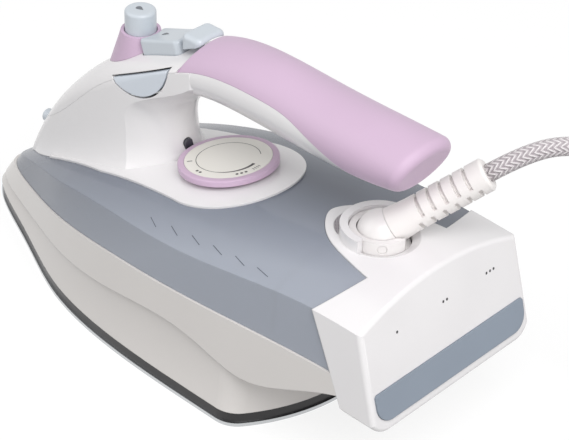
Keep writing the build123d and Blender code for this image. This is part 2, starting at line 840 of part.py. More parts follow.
with BuildPart() as handle_body:
    add(neck)
    add(behind_neck.part, mode=Mode.SUBTRACT)
    add(bar)
    add(platform.part)
    add(cover_space, mode=Mode.SUBTRACT)
    add(grip_space, mode=Mode.SUBTRACT)
    add(handle_core.part)
    add(deck_cut, mode=Mode.INTERSECT)
    add(room.part, mode=Mode.SUBTRACT)
    add(steam_block(button_gap, steam_button_depth + steam_travel + run_gap), mode=Mode.SUBTRACT)
    add(flap_zone(flap_gap, flap_floor, reach), mode=Mode.SUBTRACT)
    with BuildSketch(Plane.XY.offset(port_low)):
        with Locations((port_x, port_y)):
            Circle(port_radius)
    extrude(amount=port_high - port_low, mode=Mode.SUBTRACT)
    with BuildSketch(dial_plane):
        Circle(spindle_radius + tube_wall)
    extrude(amount=-tube_bore, mode=Mode.SUBTRACT)
    with BuildSketch(dial_plane.offset(dial_head_room)):
        Circle(dial_radius + 2 * run_gap)
    extrude(amount=-dial_head_room - dial_height - run_gap, mode=Mode.SUBTRACT)
    add(flap_rod(pin_radius + seat_gap), mode=Mode.SUBTRACT)
    with BuildSketch(Plane.YZ.offset(nozzle_tip)):
        with Locations((0, nozzle_z)):
            Circle(nozzle_radius + seat_gap)
    extrude(amount=room_front - nozzle_tip + nozzle_break, mode=Mode.SUBTRACT)
    with BuildSketch(lens_plane.offset(lens_proud)):
        SlotOverall(lens_height + 2 * seat_gap, lens_width + 2 * seat_gap, rotation=90 + lens_slant)
    extrude(amount=-lens_depth - lens_proud - seat_gap, mode=Mode.SUBTRACT)
handle_body.part.label = "handle_body"
export_step(handle_body.part, "parts/handle_body.step")

with BuildPart() as handle_cover:
    add(neck)
    add(cover_space, mode=Mode.INTERSECT)
    with BuildSketch(Plane.XY.offset(collar_foot - collar_sink)):
        with Locations((spray_x, 0)):
            Circle(spray_radius + button_gap)
    extrude(amount=collar_bore, mode=Mode.SUBTRACT)
    add(steam_block(button_gap, cover_bore), mode=Mode.SUBTRACT)
    add(flap_zone(flap_gap, flap_inner, reach), mode=Mode.SUBTRACT)
handle_cover.part.label = "handle_cover"
export_step(handle_cover.part, "parts/handle_cover.step")

with BuildPart() as core_room:
    add(bar_form(grip_wall))
    add(beyond_bar(core_back), mode=Mode.SUBTRACT)

with BuildPart() as grip:
    add(bar)
    add(grip_space, mode=Mode.INTERSECT)
    add(beyond_bar(0), mode=Mode.SUBTRACT)
    fillet(grip.faces().sort_by(Axis.X)[-1].edges(), radius=bar_end_round)
    add(core_room.part, mode=Mode.SUBTRACT)
grip.part.label = "grip"
export_step(grip.part, "parts/grip.step")

with BuildPart() as spray_collar:
    add(collar_form(0))
    add(neck, mode=Mode.SUBTRACT)
    with BuildSketch(Plane.XY.offset(collar_foot - collar_sink)):
        with Locations((spray_x, 0)):
            Circle(spray_radius + button_gap)
    extrude(amount=collar_bore, mode=Mode.SUBTRACT)
spray_collar.part.label = "spray_collar"
export_step(spray_collar.part, "parts/spray_collar.step")

with BuildPart() as filling_flap:
    add(neck)
    add(behind_neck.part, mode=Mode.SUBTRACT)
    add(flap_zone(0, flap_inner, reach), mode=Mode.INTERSECT)
    add(neck_form(flap_thickness), mode=Mode.SUBTRACT)
    add(flap_rod(pin_radius + pin_fit), mode=Mode.SUBTRACT)
filling_flap.part.label = "filling_flap"
export_step(filling_flap.part, "parts/filling_flap.step")

flap_pin = flap_rod(pin_radius)
flap_pin.label = "flap_pin"
export_step(flap_pin, "parts/flap_pin.step")

# Buttons with their plungers, return springs and pumps.
stem_radius, stem_bite, bore_depth = 2.5, 4.0, 14.0
spray_depth, spray_pump_top, spray_pump_foot = 20.0, 112.0, 62.0
spring_inner, spring_outer, spring_gap = 3.2, 4.4, 0.3
steam_pump_near, steam_pump_far, pump_flange = 19.0, 31.5, 3.0
steam_stem_x, steam_bore, steam_notch = -8.0, 10.0, 1.0
button_round = 1.5

with BuildPart() as spray_button:
    with BuildSketch(Plane.XY.offset(spray_top)):
        with Locations((spray_x, 0)):
            Circle(spray_radius)
    extrude(amount=-spray_depth)
    fillet(spray_button.edges().sort_by(Axis.Z)[-1], radius=button_round)
    with BuildSketch(Plane.XY.offset(spray_top - spray_depth)):
        with Locations((spray_x, 0)):
            Circle(stem_radius)
    extrude(amount=-(spray_top - spray_depth - spray_pump_top + stem_bite))
spray_button.part.label = "spray_button"
export_step(spray_button.part, "parts/spray_button.step")

with BuildPart() as spray_pump:
    with BuildSketch(Plane.XY.offset(spray_pump_top)):
        with Locations((spray_x, 0)):
            Circle(pump_radius)
    extrude(amount=-(spray_pump_top - spray_pump_foot))
    with BuildSketch(Plane.XY.offset(spray_pump_top)):
        with Locations((spray_x, 0)):
            Circle(stem_radius + pin_fit)
    extrude(amount=-bore_depth, mode=Mode.SUBTRACT)
spray_pump.part.label = "spray_pump"
export_step(spray_pump.part, "parts/spray_pump.step")

with BuildPart() as spray_spring:
    with BuildSketch(Plane.XY.offset(spray_pump_top + spring_gap)):
        with Locations((spray_x, 0)):
            Circle(spring_outer)
            Circle(spring_inner, mode=Mode.SUBTRACT)
    extrude(amount=spray_top - spray_depth - spray_pump_top - 2 * spring_gap)
spray_spring.part.label = "spray_spring"
export_step(spray_spring.part, "parts/spray_spring.step")

with BuildPart() as steam_button:
    with BuildSketch(steam_plane):
        RectangleRounded(steam_button_length, steam_button_width, steam_corner)
    extrude(amount=-steam_button_depth)
    fillet(steam_button.faces().sort_by(Axis(steam_plane.origin, steam_plane.z_dir))[-1].edges(), button_round)
    add(collar_form(2 * button_gap), mode=Mode.SUBTRACT)
    with BuildSketch(Plane.XY.offset(collar_foot)):
        with Locations((spray_x, 0)):
            Circle(collar_top_radius + steam_notch)
    extrude(amount=sky, mode=Mode.SUBTRACT)
    with BuildSketch(steam_plane.offset(-steam_button_depth)):
        with Locations((steam_stem_x, 0)):
            Circle(stem_radius)
    extrude(amount=-(steam_pump_near - steam_button_depth + stem_bite))
steam_button.part.label = "steam_button"
export_step(steam_button.part, "parts/steam_button.step")

with BuildPart() as steam_pump:
    with BuildSketch(steam_plane.offset(-steam_pump_near)):
        with Locations((steam_stem_x, 0)):
            Circle(pump_radius)
    extrude(amount=-(steam_pump_far - steam_pump_near))
    with BuildSketch(steam_plane.offset(-steam_pump_near)):
        with Locations((steam_stem_x, 0)):
            Rectangle(2 * pump_radius, 2 * (room_half - seat_gap))
    extrude(amount=-pump_flange)
    with BuildSketch(steam_plane.offset(-steam_pump_near)):
        with Locations((steam_stem_x, 0)):
            Circle(stem_radius + pin_fit)
    extrude(amount=-steam_bore, mode=Mode.SUBTRACT)
steam_pump.part.label = "steam_pump"
export_step(steam_pump.part, "parts/steam_pump.step")

with BuildPart() as steam_spring:
    with BuildSketch(steam_plane.offset(-steam_pump_near + spring_gap)):
        with Locations((steam_stem_x, 0)):
            Circle(spring_outer)
            Circle(spring_inner, mode=Mode.SUBTRACT)
    extrude(amount=steam_pump_near - steam_button_depth - 2 * spring_gap)
steam_spring.part.label = "steam_spring"
export_step(steam_spring.part, "parts/steam_spring.step")

with BuildPart() as steam_pod:
    with BuildSketch(Plane.XY.offset(pod_top)):
        with Locations((pod_x, 0)):
            RectangleRounded(pod_length, pod_width, steam_corner)
    extrude(amount=-pod_depth)
    fillet(steam_pod.faces().sort_by(Axis.Z)[-1].edges(), radius=pod_round)
    add(neck, mode=Mode.SUBTRACT)
    add(cover_space, mode=Mode.INTERSECT)
    add(bar, mode=Mode.SUBTRACT)
steam_pod.part.label = "steam_pod"
export_step(steam_pod.part, "parts/steam_pod.step")

# Spray nozzle in the nose of the neck, fed by a hose from the spray pump.
hose_radius = 2.0
with BuildPart() as spray_nozzle:
    with BuildSketch(Plane.YZ.offset(nozzle_tip)):
        with Locations((0, nozzle_z)):
            Circle(nozzle_radius)
    extrude(amount=room_front - nozzle_tip)
    chamfer(spray_nozzle.faces().sort_by(Axis.X)[0].edges(), length=nozzle_chamfer)
    with BuildSketch(Plane.YZ.offset(nozzle_tip)):
        with Locations((0, nozzle_z)):
            Circle(nozzle_hole)
    extrude(amount=nozzle_bore, mode=Mode.SUBTRACT)
spray_nozzle.part.label = "spray_nozzle"
export_step(spray_nozzle.part, "parts/spray_nozzle.step")

hose_rise, hose_straight, hose_bend = 22.0, 14.0, 9.0
hose_end = spray_x - pump_radius
with BuildPart() as spray_hose:
    with BuildLine(Plane.XZ):
        hose_run = FilletPolyline(
            (room_front, nozzle_z),
            (room_front + hose_straight, nozzle_z),
            (hose_end - hose_straight, nozzle_z + hose_rise),
            (hose_end, nozzle_z + hose_rise),
            radius=hose_bend,
        )
    with BuildSketch(Plane(hose_run @ 0, z_dir=hose_run % 0)):
        Circle(hose_radius)
    sweep(path=hose_run)
spray_hose.part.label = "spray_hose"
export_step(spray_hose.part, "parts/spray_hose.step")

# Pilot lens in the back wall of the neck, behind the dial.
with BuildPart() as pilot_lens:
    with BuildSketch(lens_plane.offset(lens_proud)):
        SlotOverall(lens_height, lens_width, rotation=90 + lens_slant)
    extrude(amount=-lens_depth - lens_proud)
    fillet(pilot_lens.faces().sort_by(Axis(lens_plane.origin, lens_plane.z_dir))[-1].edges(), lens_proud)
pilot_lens.part.label = "pilot_lens"
export_step(pilot_lens.part, "parts/pilot_lens.step")

# Temperature dial: knob, printed face and the spindle down to the thermostat.
with BuildPart() as dial_knob:
    with BuildSketch(dial_plane):
        Circle(dial_radius)
    extrude(amount=-dial_height)
    fillet(dial_knob.faces().sort_by(Axis(dial_plane.origin, dial_plane.z_dir))[-1].edges(), dial_round)
    with BuildSketch(dial_plane):
        Circle(dial_face_radius + seat_gap)
    extrude(amount=-dial_face_depth, mode=Mode.SUBTRACT)
dial_knob.part.label = "dial_knob"
export_step(dial_knob.part, "parts/dial_knob.step")

with BuildPart() as dial_face:
    with BuildSketch(dial_plane.offset(-dial_face_depth)):
        Circle(dial_face_radius)
    extrude(amount=dial_face_depth)
dial_face.part.label = "dial_face"
export_step(dial_face.part, "parts/dial_face.step")

thermostat_length, thermostat_width, thermostat_height, thermostat_round = 26.0, 18.0, 8.0, 2.0
bush_wall, bush_rise = 2.2, 10.0
spindle_length = 66.0
axis_drop = dial_face_z - plate_top - thermostat_height
thermostat_x = at(dial_station) + axis_drop * tan(radians(dial_lean))
with BuildPart() as dial_spindle:
    with BuildSketch(dial_plane.offset(-dial_height)):
        Circle(spindle_radius)
    extrude(amount=-spindle_length)
dial_spindle.part.label = "dial_spindle"
export_step(dial_spindle.part, "parts/dial_spindle.step")

with BuildPart() as thermostat:
    with BuildSketch(Plane.XY.offset(plate_top)):
        with Locations((thermostat_x, 0)):
            RectangleRounded(thermostat_length, thermostat_width, thermostat_round)
    extrude(amount=thermostat_height)
    with BuildSketch(dial_plane.offset(-axis_drop / cos(radians(dial_lean)))):
        Circle(spindle_radius + bush_wall)
    extrude(amount=bush_rise)
    with BuildSketch(dial_plane):
        Circle(spindle_radius + pin_fit)
    extrude(amount=-(dial_height + spindle_length + run_gap), mode=Mode.SUBTRACT)
thermostat.part.label = "thermostat"
export_step(thermostat.part, "parts/thermostat.step")

fuse_x, fuse_radius, fuse_length = 52.0, 2.6, 18.0
with BuildPart() as thermal_fuse:
    with BuildSketch(Plane.XZ.offset(-fuse_length / 2)):
        with Locations((fuse_x, plate_top + fuse_radius)):
            Circle(fuse_radius)
    extrude(amount=fuse_length)
thermal_fuse.part.label = "thermal_fuse"
export_step(thermal_fuse.part, "parts/thermal_fuse.step")

with BuildPart() as drip_valve:
    with BuildSketch(Plane.XY.offset(plate_top)):
        with Locations((valve_x, 0)):
            Circle(valve_radius)
            Circle(valve_radius - valve_wall, mode=Mode.SUBTRACT)
    extrude(amount=valve_top - plate_top)
drip_valve.part.label = "drip_valve"
export_step(drip_valve.part, "parts/drip_valve.step")

# Cord guard at rest, and how far it dips.
guard_heading, guard_rise, guard_dip = 45.0, 34.5, 8.0
guard_root, guard_radius, guard_length = 8.3, 7.5, 53.0

# Heel cover: the leaning wedge, its tongue on the tank and the socket of the cord swivel.
heel_half, heel_corner, heel_edge = 53.2, 11.0, 2.2
socket_floor, socket_hole = 2.0, 6.0
swivel_radius, swivel_fit = 13.4, 0.4
swivel_drop, swivel_top = 9.6, 2.9
collar_rise, collar_open = 4.6, 77.0
pad_half, pad_low, pad_high = 48.5, 5.6, 19.8
pad_corner, pad_top_corner = 8.0, 1.6
pad_thickness, pad_proud = 2.0, 0.8
heel_plane = Plane(
    origin=(heel_x, 0, heel_foot_z),
    x_dir=(0, 1, 0),
    z_dir=(cos(radians(heel_lean)), 0, sin(radians(heel_lean))),
)


def pad_outline(gap):
    """Heel pad outline on the rear face, grown by gap."""
    with BuildSketch() as outline:
        with Locations((0, (pad_low + pad_high) / 2)):
            Rectangle(2 * (pad_half + gap), pad_high - pad_low + 2 * gap)
        fillet(outline.vertices().group_by(Axis.Y)[0], radius=pad_corner)
        fillet(outline.vertices().group_by(Axis.Y)[-1], radius=pad_top_corner)
    return outline.sketch


def heel_section(inset):
    """Cross-section of the heel drawn in by inset, with its round bottom corners, run along X."""
    with BuildPart() as block:
        with BuildSketch(Plane.YZ.offset(heel_x - reach)) as section_face:
            with Locations((0, heel_foot_z + inset)):
                Rectangle(2 * (heel_half - inset), sky, align=(Align.CENTER, Align.MIN))
            fillet(section_face.vertices().group_by(Axis.Y)[0], radius=heel_corner - inset)
        extrude(amount=2 * reach)
    return block.part


with BuildPart() as heel_room:
    add(housing(wall))
    add(heel_block(wall), mode=Mode.INTERSECT)
    add(above_deck(heel_rise - wall), mode=Mode.SUBTRACT)
    add(behind_heel(wall), mode=Mode.SUBTRACT)
    add(heel_section(wall), mode=Mode.INTERSECT)

with BuildPart() as tongue:
    add(tongue_block(0))
    add(above_deck(heel_rise), mode=Mode.SUBTRACT)
    add(above_deck(-tongue_depth + seat_gap), mode=Mode.INTERSECT)

with BuildPart() as socket_block:
    with BuildSketch(Plane.XY.offset(ball_z - swivel_drop - socket_floor - swivel_fit)):
        with Locations((ball_x, 0)):
            Circle(socket_outer)
    extrude(amount=swivel_drop + socket_floor + swivel_fit)
    add(above_deck(heel_rise), mode=Mode.SUBTRACT)

with BuildPart() as collar_block:
    with BuildSketch(Plane.XY.offset(ball_z - tongue_depth)):
        with BuildLine():
            arc = CenterArc((ball_x, 0), collar_radius, collar_open, 360 - 2 * collar_open)
            Polyline(arc @ 1, (ball_x, 0), arc @ 0)
        make_face()
    extrude(amount=tongue_depth + collar_rise)

# Room that the guard sweeps over the heel: the cone of its underside at its lowest tilt.
sweep_half, sweep_rise, sweep_gap = 82.0, radians(guard_rise - guard_dip), 0.45
sweep_near, sweep_far = 12.4, 60.0
sweep_side = Plane(
    origin=(ball_x, 0, 0),
    x_dir=(cos(radians(sweep_half)), -sin(radians(sweep_half)), 0),
    z_dir=(-sin(radians(sweep_half)), -cos(radians(sweep_half)), 0),
)
sweep_foot = ball_z - guard_root / cos(sweep_rise) - sweep_gap
with BuildPart() as guard_sweep:
    with BuildSketch(sweep_side):
        with BuildLine():
            Polyline(
                (sweep_near, sweep_foot + sweep_near * tan(sweep_rise)),
                (sweep_far, sweep_foot + sweep_far * tan(sweep_rise)),
                (sweep_far, sky),
                (sweep_near, sky),
                close=True,
            )
        make_face()
    revolve(axis=Axis((ball_x, 0, 0), (0, 0, 1)), revolution_arc=2 * sweep_half)

with BuildPart() as heel_cover:
    add(housing(0))
    add(heel_space, mode=Mode.INTERSECT)
    add(above_deck(heel_rise), mode=Mode.SUBTRACT)
    add(behind_heel(0), mode=Mode.SUBTRACT)
    add(heel_section(0), mode=Mode.INTERSECT)
    fillet(heel_cover.faces().sort_by(Axis(heel_plane.origin, heel_plane.z_dir))[-1].edges(), radius=heel_edge)
    add(heel_room.part, mode=Mode.SUBTRACT, clean=False)
    add(tongue.part, clean=False)
    add(socket_block.part, clean=False)
    add(collar_block.part, clean=False)
    with BuildSketch(Plane.XY.offset(ball_z - swivel_drop - swivel_fit)):
        with Locations((ball_x, 0)):
            Circle(swivel_radius + swivel_fit)
    extrude(amount=sky, mode=Mode.SUBTRACT, clean=False)
    with BuildSketch(Plane.XY):
        with Locations((ball_x, 0)):
            Circle(socket_hole)
    extrude(amount=sky, mode=Mode.SUBTRACT, clean=False)
    with BuildSketch(heel_plane.offset(pad_proud - pad_thickness)):
        add(pad_outline(seat_gap))
    extrude(amount=pad_thickness, mode=Mode.SUBTRACT, clean=False)
    add(crescent_block(seat_gap, window_depth), mode=Mode.SUBTRACT, clean=False)
    add(guard_sweep.part, mode=Mode.SUBTRACT, clean=False)
heel_cover.part.label = "heel_cover"
export_step(heel_cover.part, "parts/heel_cover.step")

with BuildPart() as heel_pad:
    with BuildSketch(heel_plane.offset(pad_proud - pad_thickness)):
        add(pad_outline(0))
    extrude(amount=pad_thickness)
heel_pad.part.label = "heel_pad"
export_step(heel_pad.part, "parts/heel_pad.step")

with BuildPart() as swivel_window:
    add(crescent_block(0, window_depth - seat_gap))
    add(above_deck(heel_rise), mode=Mode.SUBTRACT)
swivel_window.part.label = "swivel_window"
export_step(swivel_window.part, "parts/swivel_window.step")

terminal_x, terminal_top = 118.0, 53.0
terminal_length, terminal_width, terminal_hole = 14.0, 34.0, 2.2
with BuildPart() as terminal_block:
    with BuildSketch(Plane.XY.offset(terminal_top)):
        with Locations((terminal_x, 0)):
            Rectangle(terminal_length, terminal_width)
            with GridLocations(0, terminal_width / 3, 1, 3):
                Circle(terminal_hole, mode=Mode.SUBTRACT)
    extrude(amount=-terminal_top)
    add(side_region(low_line, wall + seat_gap, -sky), mode=Mode.SUBTRACT)
terminal_block.part.label = "terminal_block"
export_step(terminal_block.part, "parts/terminal_block.step")

# Cord swivel: a ring that turns in the socket, a ball that tilts in the ring, and its guard.
guard_core, guard_root_end, guard_rim = 5.15, 16.0, 1.0
slot_count, slot_pitch, slot_width, slot_depth, slot_first = 6, 5.8, 1.6, 1.8, 18.5
slot_spine = 1.0
trunnion_radius, trunnion_reach = 2.0, 13.0
ring_gap = 0.45
ring_slot_half, ring_slot_drop = 8.8, 5.2
heading = radians(guard_heading)
rise = radians(guard_rise)
guard_dir = Vector(cos(rise) * cos(heading), cos(rise) * sin(heading), sin(rise))
tilt_dir = Vector(-sin(heading), cos(heading), 0)
ball_centre = Vector(ball_x, 0, ball_z)
tilt_plane = Plane(origin=ball_centre, z_dir=tilt_dir)
guard_plane = Plane(origin=ball_centre, x_dir=guard_dir, z_dir=tilt_dir)
heading_plane = Plane(
    origin=ball_centre, x_dir=(cos(heading), sin(heading), 0), z_dir=(0, 0, 1)
)

with BuildPart() as swivel_ring:
    with BuildSketch(heading_plane.offset(-swivel_drop)):
        Circle(swivel_radius)
    extrude(amount=swivel_drop + swivel_top)
    with Locations(ball_centre):
        Sphere(ball_radius + ring_gap, mode=Mode.SUBTRACT)
    with BuildSketch(heading_plane.offset(-ring_slot_drop)):
        Rectangle(2 * swivel_radius, 2 * ring_slot_half, align=(Align.MIN, Align.CENTER))
    extrude(amount=2 * swivel_radius, mode=Mode.SUBTRACT)
    with BuildSketch(tilt_plane):
        Circle(trunnion_radius + pin_fit)
    extrude(amount=2 * swivel_radius, both=True, mode=Mode.SUBTRACT)
swivel_ring.part.label = "swivel_ring"
export_step(swivel_ring.part, "parts/swivel_ring.step")

with BuildPart() as cord_ball:
    with Locations(ball_centre):
        Sphere(ball_radius)
    with BuildSketch(tilt_plane):
        Circle(trunnion_radius)
    extrude(amount=trunnion_reach, both=True)
cord_ball.part.label = "cord_ball"
export_step(cord_ball.part, "parts/cord_ball.step")


def guard_slots(first, count, side):
    """Half rings cut into the guard's upper (1) or lower (-1) side, clear of the spines between them."""
    facing = Plane(origin=ball_centre, x_dir=guard_dir, z_dir=guard_plane.y_dir * side)
    with BuildPart() as slots:
        with BuildSketch(guard_plane):
            with Locations(*[(first + n * slot_pitch, guard_radius) for n in range(count)]):
                Rectangle(slot_width, 2 * slot_depth)
        revolve(axis=Axis(ball_centre, guard_dir))
        split(bisect_by=facing.offset(slot_spine), keep=Keep.TOP)
    return slots.part


with BuildPart() as cord_guard:
    with BuildSketch(guard_plane):
        with BuildLine():
            Polyline(
                (guard_core, 0),
                (guard_core, guard_root),
                (guard_root_end, guard_radius),
                (guard_length - guard_rim, guard_radius),
                (guard_length, guard_radius - guard_rim),
                (guard_length, 0),
                close=True,
            )
        make_face()
    revolve(axis=Axis(ball_centre, guard_dir))
    with Locations(ball_centre):
        Sphere(ball_radius, mode=Mode.SUBTRACT)
    add(guard_slots(slot_first, slot_count, 1), mode=Mode.SUBTRACT)
    add(guard_slots(slot_first + slot_pitch / 2, slot_count - 1, -1), mode=Mode.SUBTRACT)
cord_guard.part.label = "cord_guard"
export_step(cord_guard.part, "parts/cord_guard.step")

# Mains cord: leaves the guard, falls to the table and runs into a stored coil.
cord_diameter, cord_sides = 8.0, 10
coil_x, coil_y = 288.0, 8.0
coil_outer, coil_pitch, coil_turns = 52.0, 8.5, 7.25
coil_start_angle = 65.0
tie_thickness, tie_gap, tie_width, tie_angle = 1.2, 0.5, 12.0, 20.0
coil_z = tie_thickness + tie_gap + cord_diameter / 2
end_straight = cord_diameter
spin = radians(coil_start_angle)


def coil_radius(turn):
    """Radius after so many turns: in and out again at a steady rate, turning in mid climb."""
    phase = (turn + 0.25) % 4
    swing = phase if phase <= 2 else 4 - phase
    return coil_outer + coil_pitch * (0.25 - swing)


def coil_height(turn):
    """Height after so many turns: one layer up in the last half turn of every two turns."""
    layer = int(turn // 2)
    step = max((turn - 2 * layer - 1.5) / 0.5, 0)
    return coil_z + coil_pitch * (layer + (1 - cos(pi * step)) / 2)


def coil_point(turn):
    """Point on the coil's centre line."""
    angle = spin - 2 * pi * turn
    radius = coil_radius(turn)
    return Vector(coil_x + radius * cos(angle), coil_y + radius * sin(angle), coil_height(turn))


def coil_heading(turn):
    """Unit tangent of the coil's centre line, level in radius where the spiral turns back."""
    small = 0.001
    return (coil_point(turn + small) - coil_point(max(turn - small, 0))).normalized()


def biarc_joint(start, end, leave, arrive):
    """Joint of two tangent arcs from start to end, and the heading there."""
    span = end - start
    turn = 2 * (1 - leave.dot(arrive))
    along = span.dot(leave + arrive)
    arm = (sqrt(along**2 + turn * span.dot(span)) - along) / turn
    joint = (start + end) * 0.5 + (leave - arrive) * (arm / 2)
    heading_there = ((end - arrive * arm) - (start + leave * arm)).normalized()
    return joint, heading_there


coil_in = coil_point(0) - coil_heading(0) * end_straight
coil_out = coil_point(coil_turns) + coil_heading(coil_turns) * end_straight
with BuildPart() as cord_coil:
    with BuildLine() as coil_path:
        Line(coil_in, coil_point(0))
        for quarter in range(int(coil_turns * 4)):
            begin, finish = quarter / 4, (quarter + 1) / 4
            leave, arrive = coil_heading(begin), coil_heading(finish)
            joint, across = biarc_joint(coil_point(begin), coil_point(finish), leave, arrive)
            TangentArc(coil_point(begin), joint, tangent=leave)
            TangentArc(joint, coil_point(finish), tangent=across)
        Line(coil_point(coil_turns), coil_out)
    with BuildSketch(Plane(coil_in, z_dir=coil_heading(0))):
        RegularPolygon(cord_diameter / 2, cord_sides)
    sweep(path=coil_path.line)
cord_coil.part.label = "cord_coil"
export_step(cord_coil.part, "parts/cord_coil.step")


bend_share = 0.45


def cord_tube(points):
    """Tube along straight runs joined by arcs as large as the shorter run allows."""
    radii = []
    for before, here, after in zip(points, points[1:], points[2:]):
        bend = radians((here - before).get_angle(after - here))
        shorter = min((here - before).length, (after - here).length)
        radii.append(bend_share * shorter / tan(bend / 2))
    with BuildPart() as tube:
        with BuildLine() as route:
            FilletPolyline(*points, radius=radii)
        with BuildSketch(Plane(points[0], z_dir=points[1] - points[0])):
            RegularPolygon(cord_diameter / 2, cord_sides)
        sweep(path=route.line)
    return tube.part


guard_end = ball_centre + guard_dir * guard_length
lead_run, coil_run = 20.0, 18.0
lead_points = [
    guard_end,
    guard_end + guard_dir * lead_run,
    Vector(160.4, 56.4, 139.2),
    Vector(174.9, 69.0, 133.9),
    Vector(189.2, 78.3, 119.8),
    Vector(199.7, 82.5, 94.2),
    Vector(205.4, 83.5, 65.0),
    Vector(215.9, 83.1, 40.5),
    Vector(233.1, 80.7, 24.0),
    Vector(252.7, 76.5, 14.5),
    Vector(270.0, 72.3, 8.6),
    coil_in - coil_heading(0) * coil_run,
    coil_in,
]
cord_lead = cord_tube(lead_points)
cord_lead.label = "cord_lead"
export_step(cord_lead, "parts/cord_lead.step")

plug_radius, plug_tail, plug_body_length, plug_tail_radius = 19.0, 20.0, 30.0, 6.2
tail_run = 12.5
tail_points = [
    coil_out,
    coil_out + coil_heading(coil_turns) * tail_run,
    Vector(317.3, -41.7, 32.3),
    Vector(307.2, -49.1, 34.4),
    Vector(295.6, -53.7, 37.0),
    Vector(283.2, -55.1, 39.8),
    Vector(270.8, -53.3, 42.5),
    Vector(259.4, -48.3, 45.2),
    Vector(249.6, -40.6, 47.8),
    Vector(242.1, -30.5, 49.7),
    Vector(237.5, -18.9, 51.0),
    Vector(236.1, -6.5, 51.8),
    Vector(237.9, 5.9, 52.2),
    Vector(242.9, 17.4, 52.2),
]
plug_lead = cord_tube(tail_points)
plug_lead.label = "plug_lead"
export_step(plug_lead, "parts/plug_lead.step")

# Tie: a flat strap round all turns of the coil.
tie_turn = (coil_start_angle - tie_angle) / 360
tie_radii = [coil_radius(tie_turn + n) for n in range(int(coil_turns - tie_turn) + 1)]
tie_inner = sqrt((min(tie_radii) - cord_diameter / 2) ** 2 - (tie_width / 2) ** 2) - tie_gap
tie_outer = max(tie_radii) + cord_diameter / 2 + tie_gap
tie_top = coil_height(coil_turns) + cord_diameter / 2 + tie_gap
with BuildPart() as cord_tie:
    tie_side = Plane(
        origin=(coil_x, coil_y, 0),
        x_dir=(cos(radians(tie_angle)), sin(radians(tie_angle)), 0),
        z_dir=(sin(radians(tie_angle)), -cos(radians(tie_angle)), 0),
    )
    with BuildSketch(tie_side):
        with Locations(((tie_inner + tie_outer) / 2, (tie_thickness + tie_top) / 2)):
            RectangleRounded(
                tie_outer - tie_inner + 2 * tie_thickness,
                tie_top + tie_thickness,
                cord_diameter / 2,
            )
            RectangleRounded(
                tie_outer - tie_inner,
                tie_top - tie_thickness,
                cord_diameter / 2 - tie_thickness,
                mode=Mode.SUBTRACT,
            )
    extrude(amount=tie_width / 2, both=True)
cord_tie.part.label = "cord_tie"
export_step(cord_tie.part, "parts/cord_tie.step")

# Plug: a round moulded two-pin plug lying on the coil.
pin_spacing, plug_pin_radius, plug_pin_length, plug_pin_depth = 19.0, 2.4, 19.0, 8.0
plug_rib, plug_shoulder, plug_step, plug_flange = 2.0, 8.0, 14.0, 6.0
plug_shoulder_drop = 3.0
plug_dir = (tail_points[-1] - tail_points[-2]).normalized()
plug_side = Plane(origin=tail_points[-1], x_dir=plug_dir, z_dir=(plug_dir.Y, -plug_dir.X, 0))
plug_face = Plane(
    origin=tail_points[-1] + plug_dir * (plug_tail + plug_body_length),
    x_dir=(plug_dir.Y, -plug_dir.X, 0),
    z_dir=plug_dir,
)
with BuildPart() as plug_body:
    with BuildSketch(plug_side):
        with BuildLine():
            Polyline(
                (0, 0),
                (0, plug_tail_radius),
                (plug_tail, plug_tail_radius + plug_rib),
                (plug_tail + plug_shoulder, plug_radius - plug_shoulder_drop),
                (plug_tail + plug_step, plug_radius - plug_rib),
                (plug_tail + plug_body_length - plug_flange, plug_radius - plug_rib),
                (plug_tail + plug_body_length - plug_flange, plug_radius),
                (plug_tail + plug_body_length, plug_radius),
                (plug_tail + plug_body_length, 0),
                close=True,
            )
        make_face()
    revolve(axis=Axis(plug_side.origin, plug_side.x_dir))
    with BuildSketch(plug_face):
        with GridLocations(pin_spacing, 0, 2, 1):
            Circle(plug_pin_radius)
    extrude(amount=-plug_pin_depth, mode=Mode.SUBTRACT)
plug_body.part.label = "plug_body"
export_step(plug_body.part, "parts/plug_body.step")

with BuildPart() as plug_pins:
    with BuildSketch(plug_face.offset(-plug_pin_depth)):
        with GridLocations(pin_spacing, 0, 2, 1):
            Circle(plug_pin_radius)
    extrude(amount=plug_pin_depth + plug_pin_length)
    fillet(plug_pins.faces().sort_by(Axis(plug_face.origin, plug_face.z_dir))[-2:].edges(), radius=plug_pin_radius * 0.6)
plug_pins.part.label = "plug_pins"
export_step(plug_pins.part, "parts/plug_pins.step")
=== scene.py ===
"""A steam iron with a lilac soft-touch handle, a smoked water tank and a braided swivel cord."""

import bpy
import numpy as np
from mathutils import Matrix


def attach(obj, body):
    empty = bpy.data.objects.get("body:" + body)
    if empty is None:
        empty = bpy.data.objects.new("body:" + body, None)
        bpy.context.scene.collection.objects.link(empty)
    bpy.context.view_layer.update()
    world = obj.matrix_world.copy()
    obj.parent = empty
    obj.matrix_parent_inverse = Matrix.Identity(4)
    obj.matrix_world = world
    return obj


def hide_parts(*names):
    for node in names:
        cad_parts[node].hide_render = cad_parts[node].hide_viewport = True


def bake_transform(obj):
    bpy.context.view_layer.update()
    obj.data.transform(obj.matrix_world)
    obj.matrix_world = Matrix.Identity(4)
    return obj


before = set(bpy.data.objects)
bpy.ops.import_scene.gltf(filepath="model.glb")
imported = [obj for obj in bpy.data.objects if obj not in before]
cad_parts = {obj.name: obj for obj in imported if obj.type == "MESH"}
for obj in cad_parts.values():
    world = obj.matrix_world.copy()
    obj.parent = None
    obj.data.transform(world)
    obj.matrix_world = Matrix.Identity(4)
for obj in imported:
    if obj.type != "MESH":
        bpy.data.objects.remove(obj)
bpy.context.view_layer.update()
mm = 0.001


